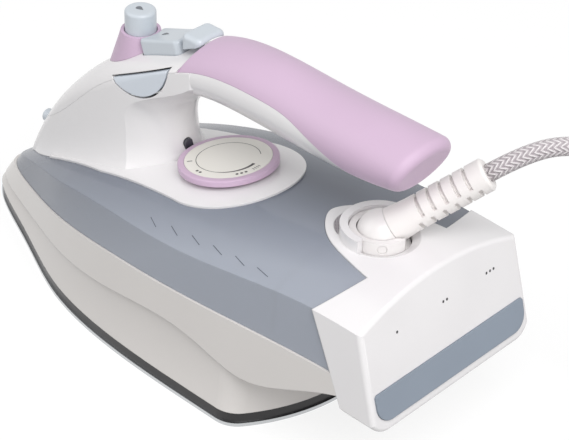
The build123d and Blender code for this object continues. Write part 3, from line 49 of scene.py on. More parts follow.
# Soleplate: a die-cast aluminium plate, ground and polished along its length, that glides on cloth.
# The heater loop is cast into it, and a pressed steel cover closes the steam chamber above.
noise_span = (0.3, 0.7)


def linear(colour):
    """Linear RGBA of an sRGB hex colour: the power law of the sRGB standard, channel by channel."""
    srgb = np.array([int(colour[i : i + 2], 16) for i in (1, 3, 5)]) / 255
    low, high = srgb / 12.92, ((srgb + 0.055) / 1.055) ** 2.4
    return (*np.where(srgb <= 0.04045, low, high), 1.0)


def add_node(tree, kind, *values, settings=None, **sockets):
    """One shader node: settings are its properties,
    values and sockets its inputs by place or by name."""
    made = tree.nodes.new("ShaderNode" + kind)
    for name, value in (settings or {}).items():
        setattr(made, name, value)
    named = {name.replace("_", " "): value for name, value in sockets.items()}
    for key, value in [*enumerate(values), *named.items()]:
        if isinstance(value, bpy.types.NodeSocket):
            tree.links.new(value, made.inputs[key])
        else:
            made.inputs[key].default_value = value
    return made


def new_material(name):
    """An empty node material and its output node."""
    material = bpy.data.materials.new(name)
    material.use_nodes = True
    material.node_tree.nodes.clear()
    return material, material.node_tree, add_node(material.node_tree, "OutputMaterial")


def metal(name, colour, roughness, scratch_mm, stretch=(1, 1, 1)):
    """Bare metal: noise drawn out along the polishing direction varies its roughness and its relief.
    Most of a noise's values lie in noise_span."""
    material, tree, output = new_material(name)
    place = add_node(tree, "TexCoord").outputs["Object"]
    turned = add_node(tree, "Mapping", Vector=place, Scale=stretch).outputs[0]
    lines = add_node(
        tree, "TexNoise", Vector=turned, Scale=1 / (scratch_mm * mm), Detail=4.0
    ).outputs[0]
    rough = add_node(tree, "MapRange", lines, *noise_span, roughness * 0.7, roughness * 1.3).outputs[0]
    relief = add_node(tree, "Bump", Strength=0.25, Distance=0.02 * mm, Height=lines).outputs[0]
    shade = add_node(
        tree, "BsdfPrincipled", Base_Color=linear(colour), Metallic=1.0, Roughness=rough, Normal=relief
    )
    tree.links.new(shade.outputs[0], output.inputs[0])
    return material


def dress(material, *names):
    """Gives CAD nodes one material in every slot."""
    for name in names:
        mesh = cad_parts[name].data
        mesh.materials.clear()
        mesh.materials.append(material)


dress(metal("polished_die_cast_aluminium", "#c6c8ca", 0.2, 0.5, (0.05, 1, 1)), "soleplate")
dress(metal("oxidised_heater_sheath_steel", "#8a8683", 0.45, 1.5), "heating_element")
dress(metal("pressed_chamber_steel", "#b4b4b6", 0.35, 2.0), "chamber_cover")
dress(metal("zinc_plated_screw_steel", "#b9b7b0", 0.3, 1.0), "sole_screws")


# Heat skirt: black glass-filled polyester between the hot plate and the cool housing.
# Its fine spark-eroded grain breaks the highlight into a soft band.
cloud_mm, edge_samples = 45, 6


def moulded(name, colour, roughness, grain_mm=0.5, relief_mm=0.004, mottle=0.04, edge_mm=0.5, **extra):
    """Moulded plastic: slow noise mottles the colour a little, fine noise is the tool's grain,
    and the sharp edges of the mould are rounded by edge_mm for the eye.
    Extra sockets go to the shader by name."""
    material, tree, output = new_material(name)
    place = add_node(tree, "TexCoord").outputs["Object"]
    cloud = add_node(tree, "TexNoise", Vector=place, Scale=1 / (cloud_mm * mm), Detail=2.0).outputs[0]
    shift = add_node(tree, "MapRange", cloud, *noise_span, 1 - mottle, 1 + mottle).outputs[0]
    tint = add_node(tree, "HueSaturation", Value=shift, Color=linear(colour)).outputs[0]
    rough = add_node(
        tree, "MapRange", cloud, *noise_span, roughness * 0.85, roughness * 1.15
    ).outputs[0]
    grain = add_node(tree, "TexNoise", Vector=place, Scale=1 / (grain_mm * mm), Detail=2.0).outputs[0]
    edge = add_node(tree, "Bevel", Radius=edge_mm * mm, settings={"samples": edge_samples}).outputs[0]
    relief = add_node(
        tree, "Bump", Strength=1.0, Distance=relief_mm * mm, Height=grain, Normal=edge
    ).outputs[0]
    shade = add_node(tree, "BsdfPrincipled", Base_Color=tint, Roughness=rough, Normal=relief, **extra)
    tree.links.new(shade.outputs[0], output.inputs[0])
    return material


skirt_polyester = moulded("glass_filled_black_polyester", "#1a181a", 0.34, grain_mm=0.4, relief_mm=0.01)
dress(skirt_polyester, "heat_skirt")

# Base shell: the lower housing that carries tank and heel, in glossy white ABS.
# Its warm greyish white is painted shade; heel, handle and neck are the same plastic in a clearer
# white. Both show sharp highlights with a trace of waviness.
gloss_mould = {"grain_mm": 2.5, "relief_mm": 0.003, "mottle": 0.012}
white_abs = moulded("gloss_white_abs", "#e8e6e7", 0.2, **gloss_mould, IOR=1.53)
# Painted shade: the base shell's white is darkened to a warm grey.
dress(moulded("white_abs_painted_shade", "#d9d5d2", 0.2, **gloss_mould), "base_shell")
dress(white_abs, "heel_cover")

# Water tank: smoked blue polycarbonate, clear enough to show its inner walls.
# The tint is painted darker towards the nose and the far side and lighter on the near slope, as painted
# shade and painted light.
tank_painted_shade, tank_painted_light = "#6d7586", "#b9bfcb"
tank_shade_direction, tank_shade_from, tank_shade_to = (3.0, -7.0, -5.0), -0.45, 0.1
tank_cloud_mm, tank_edge_mm = 60, 0.8


def smoked_tank():
    """Clear tinted plastic: part of the light goes through, part is scattered by the tint,
    which fades from a dark to a light blue along a fixed direction, as painted shade and painted light."""
    material, tree, output = new_material("smoked_polycarbonate")
    place = add_node(tree, "TexCoord").outputs["Object"]
    cloud = add_node(
        tree, "TexNoise", Vector=place, Scale=1 / (tank_cloud_mm * mm), Detail=2.0
    ).outputs[0]
    rough = add_node(tree, "MapRange", cloud, *noise_span, 0.1, 0.2).outputs[0]
    edge = add_node(
        tree, "Bevel", Radius=tank_edge_mm * mm, settings={"samples": edge_samples}
    ).outputs[0]
    along = add_node(tree, "VectorMath", place, tank_shade_direction, settings={"operation": "DOT_PRODUCT"})
    share = add_node(
        tree, "MapRange", along.outputs["Value"], tank_shade_from, tank_shade_to, 0.0, 1.0
    ).outputs[0]
    # Painted shade and light: darker tint where the tank faces away from the lamps, lighter on the near
    # slope.
    painted_shade_ramp = add_node(tree, "ValToRGB", share)
    painted_shade_ramp.color_ramp.elements[0].color = linear(tank_painted_shade)
    painted_shade_ramp.color_ramp.elements[1].color = linear(tank_painted_light)
    shade = add_node(
        tree,
        "BsdfPrincipled",
        Base_Color=painted_shade_ramp.outputs[0],
        Roughness=rough,
        IOR=1.58,
        Specular_IOR_Level=0.2,
        Transmission_Weight=0.35,
        Normal=edge,
    )
    tree.links.new(shade.outputs[0], output.inputs[0])
    return material


dress(smoked_tank(), "tank")
dress(moulded("white_polypropylene", "#d9d9d6", 0.4), "tank_floor")
dress(moulded("silicone_rubber", "#a5a5a5", 0.6), "tank_seal")


# Level scale: short dark lines printed across the tank's near slope, one for each step of filling.
# Pad-printing ink lies print_lift above the plastic and dries matt.
almost_up = 1e-6


def facing(normal):
    """Two unit vectors that span the plane across a normal, the first as level as can be.
    The upright leans by almost_up, so that a normal straight up has a level direction too."""
    level = np.cross((almost_up, 0, 1), normal)
    level = level / np.linalg.norm(level)
    return level, np.cross(normal, level)


def ink(name, colour, body, slot):
    """An empty list of printed shapes, with the name and the paint that they get."""
    return {"name": name, "colour": colour, "body": body, "slot": slot, "points": [], "faces": []}


print_lift = 0.05 * mm


def add_shape(print_list, points):
    """Adds one flat closed shape by its corners, anticlockwise as seen from outside."""
    first = sum(len(p) for p in print_list["points"])
    print_list["points"].append(points)
    print_list["faces"].append(np.arange(first, first + len(points)))


def stamp(print_list, centre, normal, outline):
    """Adds an outline in the plane across normal, print_lift above centre."""
    level, rise = facing(np.array(normal, float))
    outline = np.asarray(outline)
    lifted = np.array(centre) + np.array(normal) * print_lift
    add_shape(print_list, lifted + outline[:, :1] * level + outline[:, 1:] * rise)


def pad_print(print_list):
    """One mesh of all shapes in a print, in matt printing ink."""
    name = print_list["name"]
    mesh = bpy.data.meshes.new(name)
    faces = [face.tolist() for face in print_list["faces"]]
    mesh.from_pydata(np.concatenate(print_list["points"]), [], faces)
    piece = bpy.data.objects.new(name, mesh)
    bpy.context.scene.collection.objects.link(piece)
    mesh.materials.append(moulded(name + "_ink", print_list["colour"], 0.5, edge_mm=0.05))
    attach(piece, print_list["body"])


above_iron = 0.3


def on_top(node, x, y):
    """Point and normal where a line straight down at x, y meets a CAD node."""
    _, point, normal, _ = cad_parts[node].ray_cast((x, y, above_iron), (0, 0, -1))
    return np.array(point), np.array(normal)


def bar(width, height):
    """Outline of a bar about its centre."""
    return np.array([(-1, -1), (1, -1), (1, 1), (-1, 1)]) * (width / 2, height / 2)


def disc(radius, count=20):
    """Outline of a disc: the circle sampled at count angles."""
    angle = np.arange(count) * 2 * np.pi / count
    return radius * np.stack([np.cos(angle), np.sin(angle)], -1)


bpy.context.view_layer.update()
scale_first, scale_step, scale_count = 13.4 * mm, 13.4 * mm, 6
scale_y, scale_length, scale_width = -47.2 * mm, 8.0 * mm, 0.35 * mm
level_scale = ink("level_scale", "#4a4f5e", "iron", "tank_clear")
for step in range(scale_count):
    centre, normal = on_top("tank", scale_first + step * scale_step, scale_y)
    stamp(level_scale, centre, normal, bar(scale_length, scale_width))
pad_print(level_scale)

# Handle: white ABS neck, deck and bar, with a lilac soft-touch grip moulded over the bar.
# The same lilac rubber skin covers the collar of the spray button and the rim of the dial.
dress(white_abs, "handle_body", "handle_cover")
lilac_rubber = moulded(
    "lilac_soft_touch_rubber",
    "#cbb1c9",
    0.5,
    grain_mm=0.35,
    relief_mm=0.012,
    mottle=0.03,
    IOR=1.45,
    Sheen_Weight=0.15,
    Sheen_Roughness=0.4,
)
dress(lilac_rubber, "grip", "spray_collar", "dial_knob")

# Filling flap, spray and steam buttons, nozzle and pod: pale blue-grey ABS with a satin grain.
# Each button stands on a pump with a return spring, and has a drop printed on its top.
grey_abs = moulded("pale_grey_satin_abs", "#c6cdd4", 0.3, grain_mm=0.6, mottle=0.02)
dress(grey_abs, "spray_button", "steam_button", "steam_pod", "spray_nozzle")
dress(moulded("flap_blue_grey_abs", "#d6dde6", 0.3, grain_mm=0.6, mottle=0.02), "filling_flap")
dress(metal("hinge_pin_steel", "#b5b5b5", 0.3, 1.0), "flap_pin")
dress(moulded("natural_acetal", "#dcdad2", 0.4), "spray_pump", "steam_pump")
dress(metal("spring_steel", "#a9a9ab", 0.25, 0.6), "spray_spring", "steam_spring")
dress(moulded("silicone_hose", "#b7b7b2", 0.5), "spray_hose")


def drop(size, count=28):
    """Outline of a drop with its tip up: the teardrop curve (-sin t sin^2(t/2), cos t), scaled."""
    angle = np.arange(count) * 2 * np.pi / count
    return size / 2 * np.stack([-np.sin(angle) * np.sin(angle / 2) ** 2, np.cos(angle)], -1)


mark_size, mark_ink = 4.6 * mm, "#6d7178"
for button, body, x in (("spray_button", "spray", -44.0), ("steam_button", "steam", -27.0)):
    mark = ink(button + "_mark", mark_ink, body, "button_grey")
    stamp(mark, *on_top(button, x * mm, 0.0), drop(mark_size))
    pad_print(mark)

# Pilot lamp lens: dark smoked acrylic let into the neck behind the dial.
# It is polished, so it shows one small sharp highlight.
dress(moulded("dark_smoked_acrylic", "#3f3f47", 0.12, edge_mm=0.4), "pilot_lens")

# Thermostat dial: a printed cream face in the lilac rim, on an acetal spindle over the thermostat.
# The printed line swells to a wedge, and dots and ticks stand for the heat steps.
dial_lean = np.radians(8.3)
dial_up = np.array([-np.sin(dial_lean), 0, np.cos(dial_lean)])
dial_along = np.array([np.cos(dial_lean), 0, np.sin(dial_lean)])
face_corners = np.array([v.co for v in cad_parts["dial_face"].data.vertices])
face_centre = (face_corners.min(0) + face_corners.max(0)) / 2
face_centre = face_centre + dial_up * ((face_corners - face_centre) @ dial_up).max()
dress(moulded("cream_printed_abs", "#ece9e2", 0.35, mottle=0.015), "dial_face")
dress(moulded("spindle_acetal", "#e4e2da", 0.4), "dial_spindle")
dress(moulded("glazed_steatite", "#d9d4c4", 0.3), "thermostat")
dress(moulded("fuse_glass_sleeve", "#c9c4b8", 0.4), "thermal_fuse")
dress(metal("machined_brass", "#b59a58", 0.3, 0.8), "drip_valve")

dial_line, dial_line_width, wedge_width, mark_radius = 14.9 * mm, 0.3 * mm, 1.5 * mm, 17.6 * mm
line_start, wedge_start, wedge_end, line_points = 48, 290, 370, 96
off_angle, off_length, off_width = -133, 2.4 * mm, 0.6 * mm
heat_dots, heat_dot_radius, heat_dot_step = ((-94, 2), (-25, 3)), 0.7 * mm, 7
tick_count, tick_first, tick_step, tick_length, tick_width = 4, -5, 4, 1.6 * mm, 0.4 * mm
dial_print = ink("dial_scale", "#4a4648", "dial", "dial_print")


def ring_band(start, end, inner, outer, count=48):
    """Outline of a band round the dial: out along one edge and back along the other.
    The edges' radii run evenly from their first value to their last."""
    angle = np.radians(np.linspace(start, end, count))
    near, far = np.linspace(*inner, count), np.linspace(*outer, count)
    ray = np.stack([np.cos(angle), np.sin(angle)], -1)
    return np.concatenate([ray * far[:, None], (ray * near[:, None])[::-1]])


def on_dial(outline, radius=0.0, angle=0.0):
    """Adds an outline in the dial's own plane,
    moved out to radius at angle in degrees and turned with it."""
    turn = np.radians(angle)
    spin = np.array([[np.cos(turn), np.sin(turn)], [-np.sin(turn), np.cos(turn)]])
    flat = (np.asarray(outline) + (radius, 0)) @ spin
    across = np.array([0.0, 1.0, 0.0])
    lifted = face_centre + dial_up * print_lift
    add_shape(dial_print, lifted + flat[:, :1] * dial_along + flat[:, 1:] * across)


def centred(count):
    """Whole steps about their middle: -1/2 and 1/2 for two, -1, 0 and 1 for three."""
    return np.arange(count) - (count - 1) / 2


rim = (dial_line, dial_line)
thin = (dial_line - dial_line_width, dial_line - dial_line_width)
swelling = (dial_line - dial_line_width, dial_line - wedge_width)
on_dial(ring_band(line_start, wedge_start, thin, rim, line_points))
on_dial(ring_band(wedge_start, wedge_end, swelling, rim))
on_dial(bar(off_length, off_width), mark_radius, off_angle)
for angle, dots in heat_dots:
    for step in centred(dots):
        on_dial(disc(heat_dot_radius), mark_radius, angle + heat_dot_step * step)
for tick in range(tick_count):
    on_dial(bar(tick_length, tick_width), mark_radius, tick_first + tick_step * tick)
pad_print(dial_print)

# Heel: white ABS wedge on which the iron is parked, with a grained grey foot let into it.
# Three groups of dots repeat the dial's heat steps.
pad_mould = {"grain_mm": 0.5, "relief_mm": 0.03}
dress(moulded("grained_blue_grey_polypropylene", "#8b95a2", 0.5, **pad_mould), "heel_pad")
behind_iron, heel_z, heel_dot_step, heel_dot_radius = 0.4, 77.3 * mm, 2.4, 0.65 * mm
heel_dots = ink("heel_dots", "#3c3a3e", "iron", "housing_white")
for y, dots in ((-29.7, 1), (1.0, 2), (31.0, 3)):
    for step in centred(dots):
        place = (behind_iron, (y + heel_dot_step * step) * mm, heel_z)
        _, point, normal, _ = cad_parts["heel_cover"].ray_cast(place, (-1, 0, 0))
        stamp(heel_dots, np.array(point), np.array(normal), disc(heel_dot_radius))
pad_print(heel_dots)


# Swivel window: a grey grille of fine mesh beside the cord socket, its openings painted dark as shade.
# Its wires are drawn coarser than real ones, so that they show.
grille_pitch, grille_opening_shade, grille_wire = 1.1 * mm, "#6d676b", "#a8a2a6"


def mesh_grille():
    """Fine woven grille: two crossing waves make the openings between the wires, painted dark as shade.
    A wave texture of scale s repeats every pi / (10 s)."""
    material, tree, output = new_material("woven_grey_grille")
    place = add_node(tree, "TexCoord").outputs["Object"]
    turned = add_node(tree, "Mapping", Vector=place, Rotation=(0, 0, np.radians(45))).outputs[0]
    wires = [
        add_node(
            tree,
            "TexWave",
            Vector=turned,
            Scale=np.pi / 10 / grille_pitch,
            settings={"bands_direction": direction},
        ).outputs[1]
        for direction in ("X", "Y")
    ]
    height = add_node(tree, "Math", *wires, settings={"operation": "MAXIMUM"}).outputs[0]
    colour = add_node(tree, "Mix", height, settings={"data_type": "RGBA"})
    # Painted shade: the openings between the wires are coloured dark.
    opening_shade, wire = colour.inputs[6], colour.inputs[7]
    opening_shade.default_value, wire.default_value = linear(grille_opening_shade), linear(grille_wire)
    relief = add_node(tree, "Bump", Strength=0.6, Distance=0.1 * mm, Height=height).outputs[0]
    shade = add_node(tree, "BsdfPrincipled", Base_Color=colour.outputs[2], Roughness=0.4, Normal=relief)
    tree.links.new(shade.outputs[0], output.inputs[0])
    return material


dress(mesh_grille(), "swivel_window")
dress(moulded("terminal_polyamide", "#d5d2c6", 0.45), "terminal_block")

# Cord swivel: a white acetal ring and ball in the socket, smooth and slightly waxy,
# and a guard of warmer, duller soft PVC that keeps the cord's bend wide.
dress(moulded("white_acetal", "#eae7e6", 0.28, grain_mm=1.5, mottle=0.012), "swivel_ring", "cord_ball")
dress(moulded("warm_white_soft_pvc", "#efebe9", 0.38, grain_mm=0.8, mottle=0.02), "cord_guard")

# Mains cord: a round rubber-insulated lead in a herringbone braid of white thread, its grooves painted
# grey-lilac as shade.
# It leaves the guard, falls to the table and is put away in a tied coil that ends in the plug.
cord_diameter, cord_sides = 8.0 * mm, 18
guard_heading, guard_rise, guard_length = np.radians(45), np.radians(34.5), 53.0
ball_centre = np.array([104.0, 0, 94.6])
guard_dir = np.array(
    [
        np.cos(guard_rise) * np.cos(guard_heading),
        np.cos(guard_rise) * np.sin(guard_heading),
        np.sin(guard_rise),
    ]
)
guard_end = ball_centre + guard_dir * guard_length
lead_run = 20.0
coil_x, coil_y, coil_outer, coil_pitch, coil_turns = 288.0, 8.0, 52.0, 8.5, 7.25
coil_start, coil_z = np.radians(65), 5.7
points_per_turn, turn_step = 16, 0.001
end_straight, coil_run, tail_run = 8.0, 18.0, 12.5


def coil_point(turn):
    """Centre line of the coil: the radius goes in and out by two pitches,
    and the height climbs a layer in the last quarter of every two turns."""
    phase = (turn + 0.25) % 4
    swing = np.where(phase <= 2, phase, 4 - phase)
    radius = coil_outer + coil_pitch * (0.25 - swing)
    layer = turn // 2
    climb = np.maximum((turn - 2 * layer - 1.5) / 0.5, 0)
    height = coil_z + coil_pitch * (layer + (1 - np.cos(np.pi * climb)) / 2)
    angle = coil_start - 2 * np.pi * turn
    return np.stack([coil_x + radius * np.cos(angle), coil_y + radius * np.sin(angle), height], -1)


turns = np.arange(0, coil_turns + turn_step, 1 / points_per_turn)
coil_points = coil_point(turns)
ends = coil_point(np.array([0, turn_step, coil_turns - turn_step, coil_turns]))
into_coil = (ends[1] - ends[0]) / np.linalg.norm(ends[1] - ends[0])
out_of_coil = (ends[3] - ends[2]) / np.linalg.norm(ends[3] - ends[2])
coil_in = coil_points[0] - into_coil * end_straight
coil_out = coil_points[-1] + out_of_coil * end_straight
route = np.array(
    [
        guard_end,
        guard_end + guard_dir * lead_run,
        (160.4, 56.4, 139.2),
        (174.9, 69.0, 133.9),
        (189.2, 78.3, 119.8),
        (199.7, 82.5, 94.2),
        (205.4, 83.5, 65.0),
        (215.9, 83.1, 40.5),
        (233.1, 80.7, 24.0),
        (252.7, 76.5, 14.5),
        (270.0, 72.3, 8.6),
        coil_in - into_coil * coil_run,
        coil_in,
        *coil_points,
        coil_out,
        coil_out + out_of_coil * tail_run,
        (317.3, -41.7, 32.3),
        (307.2, -49.1, 34.4),
        (295.6, -53.7, 37.0),
        (283.2, -55.1, 39.8),
        (270.8, -53.3, 42.5),
        (259.4, -48.3, 45.2),
        (249.6, -40.6, 47.8),
        (242.1, -30.5, 49.7),
        (237.5, -18.9, 51.0),
        (236.1, -6.5, 51.8),
        (237.9, 5.9, 52.2),
        (242.9, 17.4, 52.2),
    ]
)
curve = bpy.data.curves.new("cord_route", "CURVE")
curve.dimensions = "3D"
curve.resolution_u = 8
spline = curve.splines.new("NURBS")
spline.points.add(len(route) - 1)
spline.points.foreach_set("co", np.column_stack([route * mm, np.ones(len(route))]).ravel())
spline.order_u = 3
spline.use_endpoint_u = True
guide = bpy.data.objects.new("cord_route", curve)
line = bpy.data.meshes.new_from_object(guide)
centre_line = np.array([v.co for v in line.vertices])
bpy.data.objects.remove(guide)


def tube(name, path, radius, sides):
    """Round tube on a path: at each point a circle across the heading, its first axis kept level.
    The UV map runs in metres along the tube and from 0 to 1 round it."""
    heading = np.gradient(path, axis=0)
    heading = heading / np.linalg.norm(heading, axis=1)[:, None]
    level = np.cross(heading, (0, 0, 1))
    level = level / np.linalg.norm(level, axis=1)[:, None]
    rise = np.cross(level, heading)
    angle = np.arange(sides) * 2 * np.pi / sides
    level_share, rise_share = np.cos(angle)[None, :, None], np.sin(angle)[None, :, None]
    ring = level_share * level[:, None] + rise_share * rise[:, None]
    points = (path[:, None] + radius * ring).reshape(-1, 3)
    row, side = np.meshgrid(np.arange(len(path) - 1), np.arange(sides), indexing="ij")
    after = (side + 1) % sides
    here, ahead = row * sides, (row + 1) * sides
    quads = np.stack([here + side, ahead + side, ahead + after, here + after], -1)
    caps = [list(range(sides)), [(len(path) - 1) * sides + s for s in range(sides)][::-1]]
    mesh = bpy.data.meshes.new(name)
    mesh.from_pydata(points, [], quads.reshape(-1, 4).tolist() + caps)
    along = np.concatenate([[0], np.cumsum(np.linalg.norm(np.diff(path, axis=0), axis=1))])
    u = np.stack([along[row], along[row + 1], along[row + 1], along[row]], -1)
    v = np.stack([side, side, side + 1, side + 1], -1) / sides
    uv = np.stack([u, v], -1).reshape(-1, 2)
    layer = mesh.uv_layers.new(name="along_and_round")
    layer.data.foreach_set("uv", np.concatenate([uv, np.zeros((2 * sides, 2))]).ravel())
    mesh.shade_smooth()
    piece = bpy.data.objects.new(name, mesh)
    bpy.context.scene.collection.objects.link(piece)
    return piece


def braid():
    """Herringbone braid: slanting stitches that change direction from column to column.
    They are 2.6 mm long, a little coarser than real thread so that they show.
    The grooves and seams between them are painted grey-lilac as painted shade."""
    stitch, columns, slant, crown = 2.6 * mm, 12, 1.0, 1.2
    groove_painted_shade, crown_colour = "#a1979d", "#e9e4e5"
    times, times_plus = {"operation": "MULTIPLY"}, {"operation": "MULTIPLY_ADD"}
    to_and_fro = {"operation": "PINGPONG"}
    material, tree, output = new_material("herringbone_polyester_braid")
    place = add_node(tree, "UVMap", settings={"uv_map": "along_and_round"}).outputs[0]
    split = add_node(tree, "SeparateXYZ", place)
    step = add_node(tree, "Math", split.outputs[0], 1 / stitch, settings=times).outputs[0]
    column = add_node(tree, "Math", split.outputs[1], columns, settings=times).outputs[0]
    zigzag = add_node(tree, "Math", column, 1.0, settings=to_and_fro).outputs[0]
    phase = add_node(tree, "Math", zigzag, slant, step, settings=times_plus).outputs[0]
    turn = add_node(tree, "Math", phase, 2 * np.pi, settings=times).outputs[0]
    wave = add_node(tree, "Math", turn, settings={"operation": "SINE"}).outputs[0]
    seam = add_node(tree, "Math", column, 0.5, settings=to_and_fro).outputs[0]
    height = add_node(tree, "Math", seam, crown, wave, settings=times_plus).outputs[0]
    share = add_node(tree, "MapRange", height, -1.0, 1.4, 0.0, 1.0).outputs[0]
    # Painted shade: low grooves and column seams are coloured grey-lilac, the thread's crowns white.
    colour = add_node(tree, "ValToRGB", share)
    colour.color_ramp.elements[0].color = linear(groove_painted_shade)
    colour.color_ramp.elements[1].color = linear(crown_colour)
    relief = add_node(tree, "Bump", Strength=0.8, Distance=0.35 * mm, Height=height).outputs[0]
    shade = add_node(
        tree,
        "BsdfPrincipled",
        Base_Color=colour.outputs[0],
        Roughness=0.75,
        Normal=relief,
        Sheen_Weight=0.3,
        Sheen_Roughness=0.5,
    )
    tree.links.new(shade.outputs[0], output.inputs[0])
    return material


braided = braid()
# The cord is cut at its hump into an upper part from the guard and a lower part that runs on to coil
# and plug.
hump_from, hump_to, settle_run = 0.17, 0.185, 57.5
near_hump = (centre_line[:, 0] > hump_from) & (centre_line[:, 0] <= hump_to)
hump = np.argmax(np.where(near_hump, centre_line[:, 2], 0))
upper_path, lower_path = centre_line[: hump + 1], centre_line[hump:]
upper = tube("cord_upper", upper_path, cord_diameter / 2, cord_sides)
lower = tube("cord", lower_path, cord_diameter / 2, cord_sides)
for piece in (upper, lower):
    piece.data.materials.append(braided)
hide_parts("cord_lead")
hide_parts("cord_lead", "cord_coil", "plug_lead")
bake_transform(upper)
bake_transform(lower)


# Tie and plug: a hook-and-loop strap round the coil, and a round white moulded plug with nickel pins.
# The strap's fine loops scatter the light, so it looks duller than the plug.
tie_angle, tie_width, tie_thickness = np.radians(20), 12.0 * mm, 1.2 * mm
tie_near, tie_far, tie_top, tie_corner = 34.71 * mm, 56.04 * mm, 36.3 * mm, 4.0 * mm
tab_length, tab_rows, tab_lift = 24.0 * mm, 12, 1.02 * tie_thickness
strap_sides, strap_round, strap_square, corner_points = 16, 0.4, 0.25, 9


def strap_path():
    """Middle line of the strap in radius and height: a rectangle with rounded corners, closed."""
    low = tie_thickness / 2
    corners = (
        (tie_far, tie_top, 0),
        (tie_near, tie_top, 90),
        (tie_near, low, 180),
        (tie_far, low, 270),
    )
    path = []
    for edge, height, start in corners:
        inward = np.array([np.sign(tie_near + tie_far - 2 * edge), np.sign(tie_top - 2 * height)])
        angle = np.radians(start + np.linspace(0, 90, corner_points))
        centre = np.array([edge, height]) + inward * tie_corner
        path.append(centre + tie_corner * np.stack([np.cos(angle), np.sin(angle)], -1))
    return np.concatenate([*path, path[0][:1]])


def strap(path):
    """Flat woven strap on a path in radius and height. Its section is an oval with blunt ends:
    a cosine across the thickness and a sine along the width, each raised to a power below 1."""
    step = np.gradient(path, axis=0)
    step = step / np.linalg.norm(step, axis=1)[:, None]
    outward = np.stack([step[:, 1], -step[:, 0]], -1)
    angle = np.arange(strap_sides) * 2 * np.pi / strap_sides
    thick = np.sign(np.cos(angle)) * np.abs(np.cos(angle)) ** strap_round * tie_thickness / 2
    wide = np.sign(np.sin(angle)) * np.abs(np.sin(angle)) ** strap_square * tie_width / 2
    flat = path[:, None] + outward[:, None] * thick[None, :, None]
    ray = np.array([np.cos(tie_angle), np.sin(tie_angle)])
    side = np.array([-ray[1], ray[0]])
    level = flat[..., :1] * ray + wide[None, :, None] * side + np.array([coil_x, coil_y]) * mm
    points = np.concatenate([level, flat[..., 1:]], -1).reshape(-1, 3)
    row, turn = np.meshgrid(np.arange(len(path) - 1), np.arange(strap_sides), indexing="ij")
    after = (turn + 1) % strap_sides
    here, ahead = row * strap_sides, (row + 1) * strap_sides
    quads = np.stack([here + turn, here + after, ahead + after, ahead + turn], -1)
    return points, quads.reshape(-1, 4)


loop, loop_quads = strap(strap_path())
tab_rise = np.linspace(tie_top / 2 - tab_length / 2, tie_top / 2 + tab_length / 2, tab_rows)
tab, tab_quads = strap(np.stack([np.full(tab_rows, tie_far + tab_lift), tab_rise], -1))
strap_mesh = bpy.data.meshes.new("cord_strap")
tab_ends = np.arange(len(tab)).reshape(tab_rows, strap_sides)[[0, -1]] + len(loop)
tab_faces = (tab_quads + len(loop)).tolist() + [tab_ends[0, ::-1].tolist(), tab_ends[1].tolist()]
strap_mesh.from_pydata(np.concatenate([loop, tab]), [], loop_quads.tolist() + tab_faces)
strap_mesh.shade_smooth()
strap_weave = {"grain_mm": 0.6, "relief_mm": 0.1}
strap_mesh.materials.append(moulded("white_hook_and_loop_nylon", "#d6d4d2", 0.8, **strap_weave))
tie_strap = bpy.data.objects.new("cord_strap", strap_mesh)
bpy.context.scene.collection.objects.link(tie_strap)
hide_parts("cord_tie")
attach(tie_strap, "iron")
dress(moulded("white_moulded_pvc", "#e4e2de", 0.42, grain_mm=0.8, mottle=0.02), "plug_body")
dress(metal("nickel_plated_brass", "#c9c5bb", 0.22, 0.6), "plug_pins")

# Stage: a plain white table that keeps a soft shadow, lit by a large soft lamp from the camera's right,
# a weaker one from its left and a low one that lifts the shade on the heel and the grip's end.
table_half, table_bounce, table_white, table_glow = 4.0, 0.25, 1.14, 0.72
paper_colour, fibre_mm = "#dedede", 3
table_corners = np.array([(-1, -1, 0), (1, -1, 0), (1, 1, 0), (-1, 1, 0)]) * table_half
table_mesh = bpy.data.meshes.new("table")
table_mesh.from_pydata(table_corners, [], [(0, 1, 2, 3)])
table = bpy.data.objects.new("table", table_mesh)
bpy.context.scene.collection.objects.link(table)


def seen(tree):
    """1 for rays from the camera, from a mirror or through glass, 0 for light."""
    path = add_node(tree, "LightPath").outputs
    either = {"operation": "MAXIMUM"}
    direct = add_node(tree, "Math", path["Is Camera Ray"], path["Is Glossy Ray"], settings=either)
    through = path["Is Transmission Ray"]
    return add_node(tree, "Math", direct.outputs[0], through, settings=either).outputs[0]


def white_table():
    """Matt white paper that also shows white to the eye where lamps don't reach it."""
    material, tree, output = new_material("white_paper")
    place = add_node(tree, "TexCoord").outputs["Object"]
    fibre = add_node(tree, "TexNoise", Vector=place, Scale=1 / (fibre_mm * mm), Detail=3.0).outputs[0]
    relief = add_node(tree, "Bump", Strength=0.05, Distance=0.05 * mm, Height=fibre).outputs[0]
    paper = add_node(tree, "BsdfDiffuse", Color=linear(paper_colour), Normal=relief).outputs[0]
    strength = add_node(tree, "MapRange", seen(tree), 0.0, 1.0, table_bounce, table_white).outputs[0]
    glow = add_node(tree, "Emission", Color=(1, 1, 1, 1), Strength=strength).outputs[0]
    both = add_node(tree, "MixShader", table_glow, paper, glow).outputs[0]
    tree.links.new(both, output.inputs[0])
    return material


table_mesh.materials.append(white_table())

world = bpy.data.worlds.new("studio")
bpy.context.scene.world = world
world.use_nodes = True
world.node_tree.nodes.clear()
sky_light = 0.46
brightness = add_node(
    world.node_tree, "MapRange", seen(world.node_tree), 0.0, 1.0, sky_light, 1.0
).outputs[0]
sky = add_node(world.node_tree, "Background", Color=(1, 1, 1, 1), Strength=brightness).outputs[0]
world.node_tree.links.new(sky, add_node(world.node_tree, "OutputWorld").inputs[0])


lamp_edge = (0, 1, 0.01)


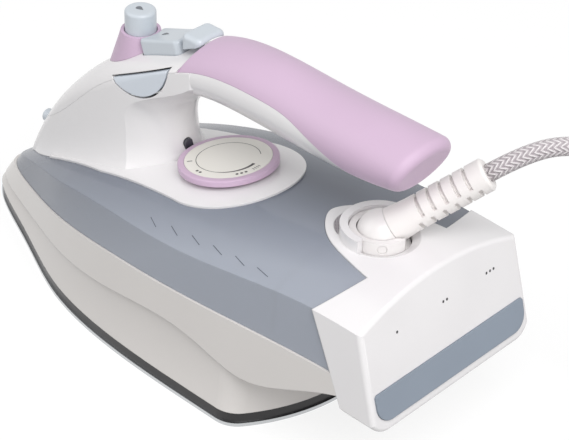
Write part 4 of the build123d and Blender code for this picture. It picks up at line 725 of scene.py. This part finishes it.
def lamp(name, place, aim, size, power):
    """Square soft lamp at place, turned so that its light goes to aim
    and one of its edges lies across lamp_edge."""
    light = bpy.data.lights.new(name, "AREA")
    light.size, light.energy = size, power
    piece = bpy.data.objects.new(name, light)
    away = np.array(place) - np.array(aim)
    away = away / np.linalg.norm(away)
    side = np.cross(lamp_edge, away)
    side = side / np.linalg.norm(side)
    turn = np.column_stack([side, np.cross(away, side), away])
    piece.matrix_world = Matrix.Translation(place) @ Matrix(turn.tolist()).to_4x4()
    bpy.context.scene.collection.objects.link(piece)


middle = (0.0, 0.0, 0.06)
lamp("key_lamp", (0.75, -0.35, 1.1), middle, 0.9, 12.0)
lamp("fill_lamp", (-0.7, -0.8, 0.7), middle, 1.0, 4.0)
lamp("rear_lamp", (1.0, -0.4, 0.2), middle, 0.6, 2.0)

# Camera: looks down on the iron from behind its near side, as the photograph does.
# The focal length is in pixels of the 569 by 440 frame, and the shift is a step across the view.
frame_width, focal_pixels = 569, 1935.97
azimuth, elevation, roll = np.radians(42.881), np.radians(34.506), np.radians(1.467)
target, distance, across, upward = np.array([-1.0, 0, 60.0]), 900.0, 35.972, -8.837
back = np.array(
    [np.sin(azimuth) * np.cos(elevation), -np.cos(azimuth) * np.cos(elevation), np.sin(elevation)]
)
level = np.array([np.cos(azimuth), np.sin(azimuth), 0])
upright = np.cross(back, level)
right = np.cos(roll) * level + np.sin(roll) * upright
up = np.cos(roll) * upright - np.sin(roll) * level
eye = (target + back * distance + right * across + up * upward) * mm
camera = bpy.data.cameras.new("camera")
camera.sensor_fit, camera.sensor_width = "HORIZONTAL", 36.0
camera.lens = focal_pixels / frame_width * camera.sensor_width
camera.clip_start, camera.clip_end = 0.05, 20.0
camera_object = bpy.data.objects.new("camera", camera)
camera_turn = Matrix(np.column_stack([right, up, back]).tolist()).to_4x4()
camera_object.matrix_world = Matrix.Translation(eye) @ camera_turn
bpy.context.scene.collection.objects.link(camera_object)
bpy.context.scene.camera = camera_object
bpy.context.scene.view_settings.view_transform = "Standard"
